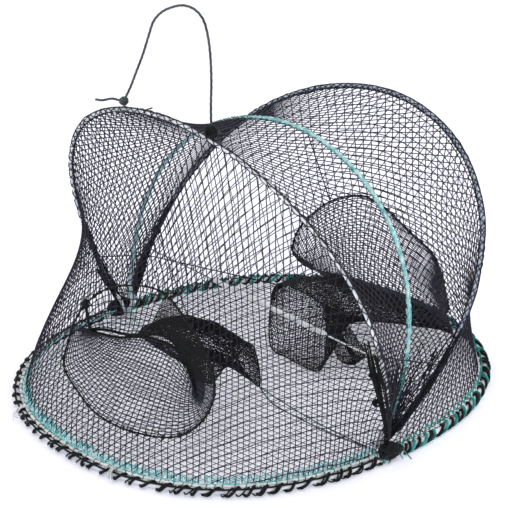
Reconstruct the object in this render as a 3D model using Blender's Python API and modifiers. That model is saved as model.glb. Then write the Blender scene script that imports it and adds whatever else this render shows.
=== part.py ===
"""Folding fish trap: an oval hoop with a net floor, three hinged arches and two net funnels.

Metres, +Z up. The origin is the middle of the hoop's outline on the ground. X runs along the
oval, from the front funnel to the back funnel, and Y along the hinge axis of the arches.
"""
import math

import bmesh
import bpy
from mathutils import Vector

# Hoop: an oval steel rod, a little longer behind the hinge axis than in front of it
HOOP_FRONT = 0.288
HOOP_BACK = 0.315
HOOP_HALF_WIDTH = 0.264
HOOP_SQUARENESS = 2.29
HOOP_ROD = 0.006
HOOP_POINTS = 64

# Rope wound round the hoop, one winding on each side of the hinges
ROPE = 0.004
ROPE_GAP = 0.0006
WRAPS_FRONT = 12
WRAPS_BACK = 12
WRAP_POINTS = 18
FLAT_SHARE = 0.1

# Running clearance between neighbouring pieces
GAP = 0.0003

# Arches: rods bent to a high horseshoe, all three on one axis
ARCH_ROD = 0.006
ARCH_SQUARENESS = 1.93
ARCH_STEPS = 32
FRONT_ARCH_REACH = 0.390
FRONT_ARCH_LEAN = 106.3
FRONT_ARCH_SPREAD = 0.154
RIDGE_HEIGHT = 0.3205
MIDDLE_ARCH_LEAN = 76.0
MIDDLE_ARCH_SPREAD = 0.097
BACK_ARCH_LEAN = 51.8
BACK_ARCH_SPREAD = 0.123

# Hinges: an eye at each foot, threaded on a stiff cord that the lashing holds
HINGE_HEIGHT = 0.010
EYE_WIDTH = 0.006
EYE_RADIUS = 0.0046
EYE_SPACING = 0.0065
FOOT_STRAIGHT = 0.016
HINGE_CORD = 0.0032
HINGE_CORD_HEAD = 0.0066
HINGE_CORD_BITE = 0.0035
LASHING_LENGTH = 0.031
LASHING_OUTSIDE = 0.013
LASHING_HEIGHT = 0.0175
LASHING_INSET = 0.0077
END_CLEAR = 0.0025

# Netting, as thin skins, and the cords that lace it
NET = 0.0016
NET_FIRST = 15.0
NET_COLUMNS = 15
NET_ROWS = 4
LACING = 0.0024
LACING_FIRST = 15.0
SELVEDGE = 0.004
FLOOR_STRAND = 0.0020
FLOOR_CELLS = 11

# Funnels: an oval mouth in the net, a throat further in and a sleeve past the throat
MOUTH_CORD = 0.003
MOUTH_SIDES = 32
FRONT_MOUTH = (-0.045, 0.128)
BACK_MOUTH = (0.070, 0.086)
MOUTH_HALF_WIDTH = 0.116
MOUTH_HALF_HEIGHT = 0.074
SLEEVE_NET = 0.0012
FUNNEL_RINGS = 5

# Sleeves as ovals from the throat inward: middle in x, y and z, half width and half height
FRONT_SLEEVE = (
    (-0.162, 0.016, 0.082, 0.096, 0.038),
    (-0.137, -0.010, 0.097, 0.068, 0.044),
    (-0.112, -0.028, 0.097, 0.050, 0.036),
    (-0.087, -0.042, 0.088, 0.038, 0.028),
    (-0.058, -0.050, 0.070, 0.034, 0.026),
)
BACK_SLEEVE = (
    (0.187, -0.008, 0.066, 0.122, 0.020),
    (0.157, 0.004, 0.066, 0.082, 0.024),
    (0.127, 0.012, 0.064, 0.055, 0.034),
    (0.097, 0.012, 0.053, 0.043, 0.044),
    (0.072, 0.008, 0.048, 0.040, 0.044),
)

# Bait bar on its cord, from the front arch's near leg to the back arch's far leg
BAR = 0.006
BAR_START = 0.215
BAR_END = 0.685
GUY = 0.0020
BAR_CORD_NEAR_TURN = 24.2
BAR_CORD_FAR_TURN = 166.5
SPREADER_TURNS = (24.8, 18.1)
FRONT_GUY_TURN = 162.6
FRONT_GUY_RING = 1
BACK_GUY_TURN = 167.4
STAY_BESIDE_HINGE = 0.010

# Handle rope, from the draw knot to the handle knot on the front arch
HANDLE = 0.0034
HANDLE_KNOT = 0.013
DRAW_KNOT = 0.019
HANDLE_KNOT_TURN = 105.0
DRAW_KNOT_TURN = 80.4
HANDLE_POINTS = 30

# The middle and back arches rise to one level, so that the ridge net between them lies level
MIDDLE_ARCH_REACH = RIDGE_HEIGHT / math.sin(math.radians(MIDDLE_ARCH_LEAN))
BACK_ARCH_REACH = RIDGE_HEIGHT / math.sin(math.radians(BACK_ARCH_LEAN))
ROD_R = ARCH_ROD / 2
HINGE_X = (HOOP_FRONT - HOOP_BACK) / 2
WRAP_R = HOOP_ROD / 2 + ROPE_GAP + ROPE / 2
WRAP_OUTER = WRAP_R + ROPE / 2
HOOP_Z = WRAP_OUTER - FLAT_SHARE * ROPE
LASHING_FACE = HOOP_HALF_WIDTH - LASHING_INSET
FOOT = {
    "front": LASHING_FACE - GAP - EYE_WIDTH / 2,
    "back": LASHING_FACE - GAP - EYE_WIDTH / 2 - EYE_SPACING,
    "middle": LASHING_FACE - GAP - EYE_WIDTH / 2 - 2 * EYE_SPACING,
}
ARCHES = {
    "front": (FRONT_ARCH_REACH, math.radians(FRONT_ARCH_LEAN), FRONT_ARCH_SPREAD),
    "middle": (MIDDLE_ARCH_REACH, math.radians(MIDDLE_ARCH_LEAN), MIDDLE_ARCH_SPREAD),
    "back": (BACK_ARCH_REACH, math.radians(BACK_ARCH_LEAN), BACK_ARCH_SPREAD),
}
AXIS_POINT = Vector((HINGE_X, 0.0, HINGE_HEIGHT))


def clear_scene():
    for item in list(bpy.data.objects):
        bpy.data.objects.remove(item, do_unlink=True)


def collection(name):
    group = bpy.data.collections.new(name)
    bpy.context.scene.collection.children.link(group)
    return group


def material(name, colour, roughness, metallic=0.0):
    made = bpy.data.materials.new(name)
    made.use_nodes = True
    shader = made.node_tree.nodes["Principled BSDF"]
    shader.inputs["Base Color"].default_value = (*colour, 1.0)
    shader.inputs["Roughness"].default_value = roughness
    shader.inputs["Metallic"].default_value = metallic
    return made


clear_scene()
PARTS = collection("fish_trap")
CUTTERS = collection("fish_trap_cutters")
WHITE = material("coated_rod", (0.80, 0.83, 0.85), 0.40)
BLACK = material("black_rope", (0.020, 0.021, 0.024), 0.75)
TWINE = material("net_twine", (0.045, 0.050, 0.065), 0.80)
TEAL = material("teal_cord", (0.030, 0.270, 0.240), 0.65)
GREY = material("grey_cord", (0.160, 0.180, 0.200), 0.75)
SLEEVE = material("sleeve_net", (0.012, 0.013, 0.015), 0.85)


def add_object(name, data, group, surface):
    item = bpy.data.objects.new(name, data)
    group.objects.link(item)
    if surface:
        data.materials.append(surface)
    return item


def curve_data(name, points, radius, resolution, cyclic):
    data = bpy.data.curves.new(name, "CURVE")
    data.dimensions = "3D"
    data.bevel_depth = radius
    data.bevel_resolution = resolution
    data.use_fill_caps = not cyclic
    data.twist_mode = "MINIMUM"
    spline = data.splines.new("POLY")
    spline.points.add(len(points) - 1)
    for place, point in zip(spline.points, points):
        place.co = (*point, 1.0)
    spline.use_cyclic_u = cyclic
    return data


def tube(name, points, diameter, surface, resolution=1, cyclic=False):
    """A round cord or rod along a list of points."""
    data = curve_data(name, points, diameter / 2, resolution, cyclic)
    item = add_object(name, data, PARTS, surface)
    for spline in data.splines:
        spline.use_smooth = True
    return item


def tube_mesh(name, points, diameter, group, surface, resolution=2, cyclic=False):
    """The same tube as a welded mesh, ready to be cut, joined or used as a cutter."""
    data = curve_data(name, points, diameter / 2, resolution, cyclic)
    item = bpy.data.objects.new(name, data)
    group.objects.link(item)
    bpy.context.view_layer.update()
    graph = bpy.context.evaluated_depsgraph_get()
    mesh = bpy.data.meshes.new_from_object(item.evaluated_get(graph))
    bpy.data.objects.remove(item, do_unlink=True)
    made = bmesh.new()
    made.from_mesh(mesh)
    bmesh.ops.remove_doubles(made, verts=made.verts, dist=0.00001)
    bmesh.ops.recalc_face_normals(made, faces=made.faces)
    made.to_mesh(mesh)
    made.free()
    mesh.materials.clear()
    return add_object(name, mesh, group, surface)


def hide_cutter(item):
    item.hide_render = True
    item.display_type = "WIRE"
    return item


def boolean(item, cutter, operation="DIFFERENCE"):
    step = item.modifiers.new(operation.lower(), "BOOLEAN")
    step.operation = operation
    step.object = hide_cutter(cutter)


def smooth(item, angle=50.0):
    item.data.shade_smooth()
    item.data.set_sharp_from_angle(angle=math.radians(angle))
    return item


def rod_along_y(name, x, z, y_low, y_high, radius, group, surface, sides=16):
    """A straight round piece that lies along Y."""
    made = bmesh.new()
    bmesh.ops.create_cone(
        made,
        cap_ends=True,
        segments=sides,
        radius1=radius,
        radius2=radius,
        depth=y_high - y_low,
    )
    mesh = bpy.data.meshes.new(name)
    made.to_mesh(mesh)
    made.free()
    item = add_object(name, mesh, group, surface)
    item.location = (x, (y_low + y_high) / 2, z)
    item.rotation_euler = (math.radians(90), 0, 0)
    return item


def block(name, low, high, group):
    """A plain box between two corners, used as a cutter."""
    made = bmesh.new()
    bmesh.ops.create_cube(made, size=1.0)
    middle = (Vector(low) + Vector(high)) / 2
    size = Vector(high) - Vector(low)
    for corner in made.verts:
        corner.co = Vector([corner.co[i] * size[i] for i in range(3)]) + middle
    mesh = bpy.data.meshes.new(name)
    made.to_mesh(mesh)
    made.free()
    return add_object(name, mesh, group, None)


def shell(name, rows, thickness, surface, closed=False):
    """A thin skin over a grid of points, closed round each row if asked."""
    made = bmesh.new()
    grid = [[made.verts.new(point) for point in row] for row in rows]
    columns = len(rows[0])
    last = columns if closed else columns - 1
    for low, high in zip(grid, grid[1:]):
        for i in range(last):
            j = (i + 1) % columns
            made.faces.new((low[i], low[j], high[j], high[i]))
    bmesh.ops.recalc_face_normals(made, faces=made.faces)
    mesh = bpy.data.meshes.new(name)
    made.to_mesh(mesh)
    made.free()
    item = add_object(name, mesh, PARTS, surface)
    step = item.modifiers.new("thickness", "SOLIDIFY")
    step.thickness = thickness
    step.offset = 0.0
    return item


# Outlines and curves


def hoop_radius(angle):
    """Distance from the hinge axis's middle to the hoop's centre line, in plan."""
    length = HOOP_BACK if math.cos(angle) > 0 else HOOP_FRONT
    n = HOOP_SQUARENESS
    across = abs(math.cos(angle) / length) ** n + abs(math.sin(angle) / HOOP_HALF_WIDTH) ** n
    return across ** (-1 / n)


def hoop_plan(angle):
    reach = hoop_radius(angle)
    return Vector((HINGE_X + reach * math.cos(angle), reach * math.sin(angle), 0.0))


def hoop_point(angle, outward=0.0, height=HOOP_Z):
    """A point beside the hoop: outward from its centre line, square to it."""
    step = 0.002
    tangent = (hoop_plan(angle + step) - hoop_plan(angle - step)).normalized()
    normal = Vector((tangent.y, -tangent.x, 0.0))
    return hoop_plan(angle) + normal * outward + Vector((0, 0, height))


def hoop_angles(x_clear):
    """The plan angles where the front and back halves stay x_clear from the hinge axis."""
    share = x_clear / HOOP_HALF_WIDTH
    return math.pi / 2 + share, 3 * math.pi / 2 - share, -math.pi / 2 + share, math.pi / 2 - share


def signed_power(value, power):
    return math.copysign(abs(value) ** power, value)


def arch_point(arch, turn, outward=0.0):
    """A point on an arch: turn runs from 0 at the near foot to 180 at the far one.

    outward moves it off the rod's centre line, in the arch's own plane.
    """
    across, reach = arch_flat(arch, turn)
    if outward:
        step = 0.5
        a0, r0 = arch_flat(arch, max(turn - step, 0.0))
        a1, r1 = arch_flat(arch, min(turn + step, 180.0))
        length = math.hypot(a1 - a0, r1 - r0)
        across += -(r1 - r0) / length * outward
        reach += (a1 - a0) / length * outward
    lean = ARCHES[arch][1]
    return AXIS_POINT + Vector((reach * math.cos(lean), across, reach * math.sin(lean)))


def arch_flat(arch, turn):
    reach, _, spread = ARCHES[arch]
    angle = math.radians(turn)
    power = 2 / ARCH_SQUARENESS
    sine = abs(math.sin(angle))
    across = -signed_power(math.cos(angle), power) * (FOOT[arch] + spread * sine)
    return across, reach * sine**power


def rod_point(arch, turn):
    """A point on an arch's rod as it is made, straight from one bend point to the next."""
    step = 180 / ARCH_STEPS
    low = math.floor(turn / step) * step
    return between(arch_point(arch, low), arch_point(arch, low + step), (turn - low) / step)


def arch_tangent(arch, turn):
    step = 0.5
    return (arch_point(arch, turn + step) - arch_point(arch, turn - step)).normalized()


def beside_arch(arch, turn, towards, distance):
    """A point at a set distance from an arch's centre line, on the side of another point."""
    centre = arch_point(arch, turn)
    tangent = arch_tangent(arch, turn)
    side = towards - centre
    side -= tangent * side.dot(tangent)
    return centre + side.normalized() * distance


def between(a, b, share):
    return a + (b - a) * share


# Net panels: ruled skins from one edge to the next

EDGE_OFF = ROD_R + GAP + NET / 2
SELVEDGE_IN = WRAP_OUTER + GAP + SELVEDGE / 2
NET_FOOT_Z = HOOP_Z + SELVEDGE / 2 + GAP + NET / 2


def hoop_edge(side, turn):
    """The lower edge of a net panel, on the selvedge cord; side is -1 in front, 1 behind."""
    angle = -math.pi / 2 + side * math.radians(turn)
    return hoop_point(angle, -SELVEDGE_IN, NET_FOOT_Z)


def panel_point(side, arch, turn, share):
    low = hoop_edge(side, turn)
    high = beside_arch(arch, turn, low, EDGE_OFF)
    return between(low, high, share)


def panel_at(side, arch, y, z):
    """The point of a panel at a given y and z, found by Newton steps."""
    turn, share = 90.0, 0.4
    for _ in range(12):
        here = panel_point(side, arch, turn, share)
        by_turn = panel_point(side, arch, turn + 0.5, share) - here
        by_share = panel_point(side, arch, turn, share + 0.01) - here
        a, b = by_turn.y / 0.5, by_share.y / 0.01
        c, d = by_turn.z / 0.5, by_share.z / 0.01
        det = a * d - b * c
        miss_y, miss_z = y - here.y, z - here.z
        turn += (d * miss_y - b * miss_z) / det
        share += (a * miss_z - c * miss_y) / det
    return panel_point(side, arch, turn, share)


def net_turns():
    return [NET_FIRST + (180 - 2 * NET_FIRST) * i / NET_COLUMNS for i in range(NET_COLUMNS + 1)]


def side_net(name, side, arch, mouth):
    """A net between the hoop and an arch, with its funnel's mouth cut out."""
    rows = []
    for j in range(NET_ROWS + 1):
        rows.append([panel_point(side, arch, turn, j / NET_ROWS) for turn in net_turns()])
    item = shell(name, rows, NET, TWINE)
    margin = MOUTH_CORD / 2 + GAP + NET / 4
    bpy.ops.mesh.primitive_cylinder_add(
        vertices=MOUTH_SIDES, radius=1.0, depth=1.0, rotation=(0, math.radians(90), 0)
    )
    cutter = bpy.context.active_object
    cutter.name = name + "_mouth"
    for group in list(cutter.users_collection):
        group.objects.unlink(cutter)
    CUTTERS.objects.link(cutter)
    # Along its own axes the cylinder lies as x up, y across and z along the funnel
    cutter.scale = (MOUTH_HALF_HEIGHT + margin, MOUTH_HALF_WIDTH + margin, HOOP_FRONT)
    cutter.location = (side * HOOP_FRONT, mouth[0], mouth[1])
    boolean(item, cutter)
    return item


def arch_net(name, first, second):
    """A net between two arches."""
    rows = []
    for j in range(NET_ROWS):
        row = []
        for turn in net_turns():
            low = beside_arch(first, turn, arch_point(second, turn), EDGE_OFF)
            high = beside_arch(second, turn, arch_point(first, turn), EDGE_OFF)
            row.append(between(low, high, j / (NET_ROWS - 1)))
        rows.append(row)
    return shell(name, rows, NET, TWINE)


# Base


def hoop_ring(points, outward=0.0, height=HOOP_Z):
    return [hoop_point(2 * math.pi * i / points, outward, height) for i in range(points)]


def base_hoop():
    return tube("base_hoop", hoop_ring(HOOP_POINTS), HOOP_ROD, WHITE, 2, cyclic=True)


def wrap_point(angle, phase):
    return hoop_point(angle, WRAP_R * math.cos(phase), HOOP_Z + WRAP_R * math.sin(phase))


def hoop_winding(name, start, end, wraps):
    """Rope wound round one half of the hoop, cut flat where it stands."""
    count = wraps * WRAP_POINTS
    points = []
    for i in range(count + 1):
        share = i / count
        points.append(wrap_point(start + (end - start) * share, 2 * math.pi * wraps * share))
    item = tube_mesh(name, points, ROPE, PARTS, BLACK, 1)
    span = HOOP_BACK + HOOP_HALF_WIDTH
    under = block(name + "_ground", (-span, -span, -ROPE), (span, span, 0.0), CUTTERS)
    boolean(item, under)
    smooth(item)
    least = least_gap(points, WRAP_POINTS // 2) - ROPE
    print(f"{name}: least gap between turns {least * 1000:.2f} mm")
    return item


def least_gap(points, apart):
    """The least distance between points of a winding that are at least half a turn apart."""
    least = 1.0
    for i, first in enumerate(points):
        for second in points[i + apart :: 1]:
            least = min(least, (first - second).length)
    return least


def selvedge(name, start, end):
    points = [
        hoop_point(start + (end - start) * i / (HOOP_POINTS // 2), -SELVEDGE_IN)
        for i in range(HOOP_POINTS // 2 + 1)
    ]
    return tube(name, points, SELVEDGE, TEAL)


def floor_net():
    """A flat net of open cells, laced inside the hoop and lying on the ground."""
    inset = LASHING_INSET + 2 * GAP + FLOOR_STRAND / 2
    made = bmesh.new()
    grid = []
    for i in range(FLOOR_CELLS + 1):
        row = []
        for j in range(FLOOR_CELLS + 1):
            u = 2 * i / FLOOR_CELLS - 1
            v = 2 * j / FLOOR_CELLS - 1
            x = u * math.sqrt(1 - v * v / 2)
            y = v * math.sqrt(1 - u * u / 2)
            angle = math.atan2(y, x) + math.pi / 4
            share = min(math.hypot(x, y), 1.0)
            rim = hoop_point(angle, -inset, 0.0)
            centre = Vector((HINGE_X, 0.0, 0.0))
            point = between(centre, rim, share)
            point.z = FLOOR_STRAND / 2
            row.append(made.verts.new(point))
        grid.append(row)
    for i in range(FLOOR_CELLS):
        for j in range(FLOOR_CELLS):
            cell = (grid[i][j], grid[i + 1][j], grid[i + 1][j + 1], grid[i][j + 1])
            made.faces.new(cell)
    mesh = bpy.data.meshes.new("floor_net")
    made.to_mesh(mesh)
    made.free()
    item = add_object("floor_net", mesh, PARTS, TWINE)
    step = item.modifiers.new("strands", "WIREFRAME")
    step.thickness = FLOOR_STRAND
    step.use_even_offset = True
    step.use_boundary = True
    return item


def hinge_lashing(name, side):
    """The lump of cord that ties the hinge to the hoop; side is -1 near, 1 far."""
    made = bmesh.new()
    bmesh.ops.create_uvsphere(made, u_segments=20, v_segments=12, radius=1.0)
    outside = HOOP_HALF_WIDTH + LASHING_OUTSIDE
    depth = outside - LASHING_FACE
    # The ball is larger than the lump on the two sides that are cut flat
    half = Vector((LASHING_LENGTH / 2, depth * 0.62, LASHING_HEIGHT * 0.60))
    centre = Vector((HINGE_X, side * (outside - half.y), LASHING_HEIGHT - half.z))
    for corner in made.verts:
        corner.co = Vector([corner.co[i] * half[i] for i in range(3)]) + centre
    for place, normal in (
        (Vector((0, side * LASHING_FACE, 0)), Vector((0, -side, 0))),
        (Vector((0, 0, 0)), Vector((0, 0, -1))),
    ):
        cut = bmesh.ops.bisect_plane(
            made,
            geom=made.verts[:] + made.edges[:] + made.faces[:],
            plane_co=place,
            plane_no=normal,
            clear_outer=True,
        )
        rim = [edge for edge in cut["geom_cut"] if isinstance(edge, bmesh.types.BMEdge)]
        bmesh.ops.edgenet_fill(made, edges=rim)
    bmesh.ops.recalc_face_normals(made, faces=made.faces)
    mesh = bpy.data.meshes.new(name)
    made.to_mesh(mesh)
    made.free()
    item = add_object(name, mesh, PARTS, BLACK)
    hoop_hole = tube_mesh(
        name + "_hoop_hole", hoop_ring(HOOP_POINTS), HOOP_ROD + 2 * GAP, CUTTERS, None, 2, True
    )
    boolean(item, hoop_hole)
    ends = sorted((side * (LASHING_FACE - GAP), side * (LASHING_FACE + HINGE_CORD_BITE + GAP)))
    bore = rod_along_y(
        name + "_bore",
        HINGE_X,
        HINGE_HEIGHT,
        ends[0],
        ends[1],
        HINGE_CORD / 2 + GAP,
        CUTTERS,
        None,
    )
    boolean(item, bore)
    return smooth(item, 40)


def hinge_cord(name, side):
    """The stiff cord core through the three eyes of one hinge, with a stopper knot inside."""
    inner = FOOT["middle"] - EYE_WIDTH / 2 - GAP
    length = LASHING_FACE + HINGE_CORD_BITE - inner
    head = HINGE_CORD_HEAD / 2
    profile = [
        (0.0, length),
        (HINGE_CORD / 2, length),
        (HINGE_CORD / 2, 0.0),
        (head * 0.8, 0.0),
        (head, -head * 0.35),
        (head * 0.8, -head * 0.7),
        (0.0, -head * 0.8),
    ]
    made = bmesh.new()
    ring = [made.verts.new((r, 0.0, z)) for r, z in profile]
    for a, b in zip(ring, ring[1:]):
        made.edges.new((a, b))
    mesh = bpy.data.meshes.new(name)
    made.to_mesh(mesh)
    made.free()
    item = add_object(name, mesh, PARTS, BLACK)
    step = item.modifiers.new("turned", "SCREW")
    step.steps = 12
    step.render_steps = 12
    step.use_merge_vertices = True
    step.merge_threshold = 0.00001
    item.location = (HINGE_X, side * inner, HINGE_HEIGHT)
    item.rotation_euler = (math.radians(-90 * side), 0, 0)
    return item


# Arches


def foot_point(arch, side, reach):
    """A point on the straight stub that leaves an eye square to the hinge axis."""
    lean = ARCHES[arch][1]
    across = side * FOOT[arch]
    return AXIS_POINT + Vector((reach * math.cos(lean), across, reach * math.sin(lean)))


def arch_rod(name, arch):
    """A rod bent to a horseshoe, with an eye at each foot."""
    bend = [arch_point(arch, 180 * i / ARCH_STEPS) for i in range(1, ARCH_STEPS)]
    near = [foot_point(arch, -1, 0.0), foot_point(arch, -1, FOOT_STRAIGHT)]
    far = [foot_point(arch, 1, FOOT_STRAIGHT), foot_point(arch, 1, 0.0)]
    item = tube_mesh(name, [*near, *bend, *far], ARCH_ROD, PARTS, WHITE, 2)
    for side, word in ((-1, "near"), (1, "far")):
        low = side * FOOT[arch] - EYE_WIDTH / 2
        high = side * FOOT[arch] + EYE_WIDTH / 2
        eye = rod_along_y(
            f"{name}_{word}_eye", HINGE_X, HINGE_HEIGHT, low, high, EYE_RADIUS, CUTTERS, None
        )
        boolean(item, eye, "UNION")
        bore = rod_along_y(
            f"{name}_{word}_bore",
            HINGE_X,
            HINGE_HEIGHT,
            low - EYE_WIDTH,
            high + EYE_WIDTH,
            HINGE_CORD / 2 + GAP,
            CUTTERS,
            None,
        )
        boolean(item, bore)
    return smooth(item, 40)


def arch_lacing(name, arch, surface):
    """The cord that laces the nets to an arch, along the rod's outer side."""
    off = ROD_R + GAP + LACING / 2
    turns = [180 * i / ARCH_STEPS for i in range(ARCH_STEPS + 1)]
    kept = [turn for turn in turns if LACING_FIRST <= turn <= 180 - LACING_FIRST]
    return tube(name, [arch_point(arch, turn, off) for turn in kept], LACING, surface)


# Funnels


def oval_angles():
    return [2 * math.pi * i / MOUTH_SIDES for i in range(MOUTH_SIDES)]


def mouth_ring(side, arch, mouth, inset=0.0):
    ring = []
    for angle in oval_angles():
        y = mouth[0] + (MOUTH_HALF_WIDTH - inset) * math.cos(angle)
        z = mouth[1] + (MOUTH_HALF_HEIGHT - inset) * math.sin(angle)
        ring.append(panel_at(side, arch, y, z))
    return ring


def oval_ring(oval, shift=0.0):
    x, y, z, half_width, half_height = oval
    ring = []
    for angle in oval_angles():
        across = y + half_width * math.cos(angle)
        up = z + half_height * math.sin(angle)
        ring.append(Vector((x + shift, across, up)))
    return ring


def loft(first, last, rings, waist):
    """Rings from one to the other, drawn in between by a waist share."""
    rows = []
    middle_first = sum(first, Vector()) / len(first)
    middle_last = sum(last, Vector()) / len(last)
    for j in range(rings):
        share = j / (rings - 1)
        middle = between(middle_first, middle_last, share)
        narrow = 1 - waist * math.sin(math.pi * share)
        row = [middle + (between(a, b, share) - middle) * narrow for a, b in zip(first, last)]
        rows.append(row)
    return rows


def thinned(ring):
    return ring[::2]


def funnel(prefix, side, arch, mouth, sleeve):
    tube(f"{prefix}_mouth_cord", mouth_ring(side, arch, mouth), MOUTH_CORD, BLACK, 1, cyclic=True)
    start = mouth_ring(side, arch, mouth, MOUTH_CORD / 2 + 2 * GAP + NET / 2)
    rows = loft(thinned(start), thinned(oval_ring(sleeve[0])), FUNNEL_RINGS, 0.10)
    shell(f"{prefix}_funnel", rows, NET, TWINE, closed=True)
    seam = -side * (NET / 2 + GAP)
    rows = [thinned(oval_ring(oval, seam)) for oval in sleeve]
    shell(f"{prefix}_sleeve", rows, SLEEVE_NET, SLEEVE, closed=True)


# Cords inside the trap


def taut(name, start, end, surface=GREY, steps=6):
    points = [between(start, end, i / steps) for i in range(steps + 1)]
    return tube(name, points, GUY, surface, 1)


def off_rod(arch, turn, towards):
    """Where a cord's square end meets an arch: just clear of the rod, facing its other end."""
    slant = abs(arch_tangent(arch, turn).dot((towards - arch_point(arch, turn)).normalized()))
    shift = rod_point(arch, turn) - arch_point(arch, turn)
    return beside_arch(arch, turn, towards, ROD_R + GAP + GUY / 2 * slant) + shift


def bait_bar():
    near = off_rod("front", BAR_CORD_NEAR_TURN, arch_point("back", BAR_CORD_FAR_TURN))
    far = off_rod("back", BAR_CORD_FAR_TURN, arch_point("front", BAR_CORD_NEAR_TURN))
    start = between(near, far, BAR_START)
    end = between(near, far, BAR_END)
    along = (far - near).normalized()
    taut("bait_cord_near", near, start - along * GAP, WHITE)
    taut("bait_cord_far", end + along * GAP, far, GREY)
    tube("bait_bar", [start, between(start, end, 0.5), end], BAR, WHITE, 3)


def spreader():
    """The limit cord between the front and back arches' near legs, clear of the nets inside."""
    turns = dict(zip(("front", "back"), SPREADER_TURNS))
    ends = []
    for arch, other in (("front", "back"), ("back", "front")):
        here = arch_point(arch, turns[arch])
        outside = (arch_point(arch, turns[arch], 0.01) - here).normalized()
        across = (arch_point(other, turns[other]) - here).normalized()
        shift = rod_point(arch, turns[arch]) - here
        corner = here + outside + across
        ends.append(beside_arch(arch, turns[arch], corner, ROD_R + GAP + GUY / 2) + shift)
    taut("spreader_cord", *ends, BLACK)


def sleeve_top(side, oval):
    """Just above the top of one of a sleeve's ovals."""
    clear = SLEEVE_NET / 2 + GUY / 2 + GAP
    top = oval_ring(oval, -side * (NET / 2 + GAP))[MOUTH_SIDES // 4]
    return top + Vector((0, 0, clear))


def sleeve_cords():
    """Cords that hold the sleeves up and open, inside the trap."""
    top = sleeve_top(-1, FRONT_SLEEVE[FRONT_GUY_RING])
    taut("front_sleeve_guy", off_rod("back", FRONT_GUY_TURN, top), top, BLACK)
    top = sleeve_top(1, BACK_SLEEVE[-1])
    taut("back_sleeve_guy", off_rod("front", BACK_GUY_TURN, top), top, BLACK)
    rim = oval_ring(FRONT_SLEEVE[-1], NET / 2 + GAP + GUY / 2)[3 * MOUTH_SIDES // 4]
    lump = Vector((HINGE_X - STAY_BESIDE_HINGE, -LASHING_FACE + GAP, HINGE_HEIGHT))
    taut("front_sleeve_stay", lump, rim, GREY)


# Handle


def arch_lump(name, arch, turn, size, surface):
    """A knot that sits on the lacing, on an arch's outer side."""
    off = ROD_R + LACING + 2 * GAP + size * 0.48
    outward = (arch_point(arch, turn, off) - arch_point(arch, turn)).normalized()
    made = bmesh.new()
    bmesh.ops.create_icosphere(made, subdivisions=2, radius=size / 2)
    mesh = bpy.data.meshes.new(name)
    made.to_mesh(mesh)
    made.free()
    item = add_object(name, mesh, PARTS, surface)
    item.location = rod_point(arch, turn) + outward * off
    smooth(item)
    return item.location.copy()


# The loop's middle points, as (along the arch, height) in the plane of the two knots
HANDLE_ROUTE = (
    (0.088, 0.405),
    (0.076, 0.428),
    (0.063, 0.453),
    (0.052, 0.478),
    (0.042, 0.499),
    (0.027, 0.514),
    (0.008, 0.525),
    (-0.014, 0.533),
    (-0.035, 0.533),
    (-0.050, 0.524),
    (-0.058, 0.505),
    (-0.062, 0.480),
    (-0.063, 0.452),
    (-0.062, 0.425),
)


def smooth_route(points, count):
    """Even points on a smooth curve through a list of points."""
    ends = [points[0] * 2 - points[1], *points, points[-1] * 2 - points[-2]]
    fine = []
    for i in range(1, len(ends) - 2):
        a, b, c, d = ends[i - 1], ends[i], ends[i + 1], ends[i + 2]
        for k in range(12):
            t = k / 12
            one = b * 2 + (c - a) * t
            two = (a * 2 - b * 5 + c * 4 - d) * t**2
            three = (b * 3 - a - c * 3 + d) * t**3
            fine.append((one + two + three) * 0.5)
    fine.append(points[-1])
    lengths = [0.0]
    for a, b in zip(fine, fine[1:]):
        lengths.append(lengths[-1] + (b - a).length)
    route = []
    for i in range(count):
        wanted = lengths[-1] * i / (count - 1)
        k = max(n for n in range(len(fine) - 1) if lengths[n] <= wanted)
        share = (wanted - lengths[k]) / (lengths[k + 1] - lengths[k])
        route.append(between(fine[k], fine[k + 1], min(share, 1.0)))
    return route, lengths[-1]


def handle():
    knot = arch_lump("handle_knot", "front", HANDLE_KNOT_TURN, HANDLE_KNOT, BLACK)
    draw = arch_lump("draw_knot", "front", DRAW_KNOT_TURN, DRAW_KNOT, BLACK)
    middle = [Vector((knot.x, y, z)) for y, z in HANDLE_ROUTE]
    start = knot + (middle[0] - knot).normalized() * (HANDLE_KNOT / 2 + GAP)
    end = draw + (middle[-1] - draw).normalized() * (DRAW_KNOT / 2 + GAP)
    route, length = smooth_route([start, *middle, end], HANDLE_POINTS)
    print(f"handle_rope: {length * 1000:.0f} mm long")
    tube("handle_rope", route, HANDLE, GREY, 2)


def build():
    front_start, front_end, back_start, back_end = hoop_angles(
        LASHING_LENGTH / 2 + ROPE / 2 + END_CLEAR
    )
    base_hoop()
    hoop_winding("front_hoop_rope", front_start, front_end, WRAPS_FRONT)
    hoop_winding("back_hoop_rope", back_start, back_end, WRAPS_BACK)
    selvedge("front_selvedge", front_start, front_end)
    selvedge("back_selvedge", back_start, back_end)
    floor_net()
    for side, word in ((-1, "near"), (1, "far")):
        hinge_lashing(f"hinge_lashing_{word}", side)
        hinge_cord(f"hinge_cord_{word}", side)
    for arch, surface in (("front", GREY), ("middle", TEAL), ("back", GREY)):
        arch_rod(f"{arch}_arch", arch)
        arch_lacing(f"{arch}_arch_lacing", arch, surface)
    side_net("front_net", -1, "front", FRONT_MOUTH)
    side_net("back_net", 1, "back", BACK_MOUTH)
    arch_net("crown_net", "front", "middle")
    arch_net("ridge_net", "middle", "back")
    funnel("front", -1, "front", FRONT_MOUTH, FRONT_SLEEVE)
    funnel("back", 1, "back", BACK_MOUTH, BACK_SLEEVE)
    bait_bar()
    spreader()
    sleeve_cords()
    handle()


build()
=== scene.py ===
"""The folding fish trap: its rods, ropes, nets and funnels, seen as in its photograph.

Metres, +Z up. X runs along the oval from the front funnel to the back funnel, and Y along the
hinge axis of the arches, from the near hinge to the far one.
"""

import math

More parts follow.
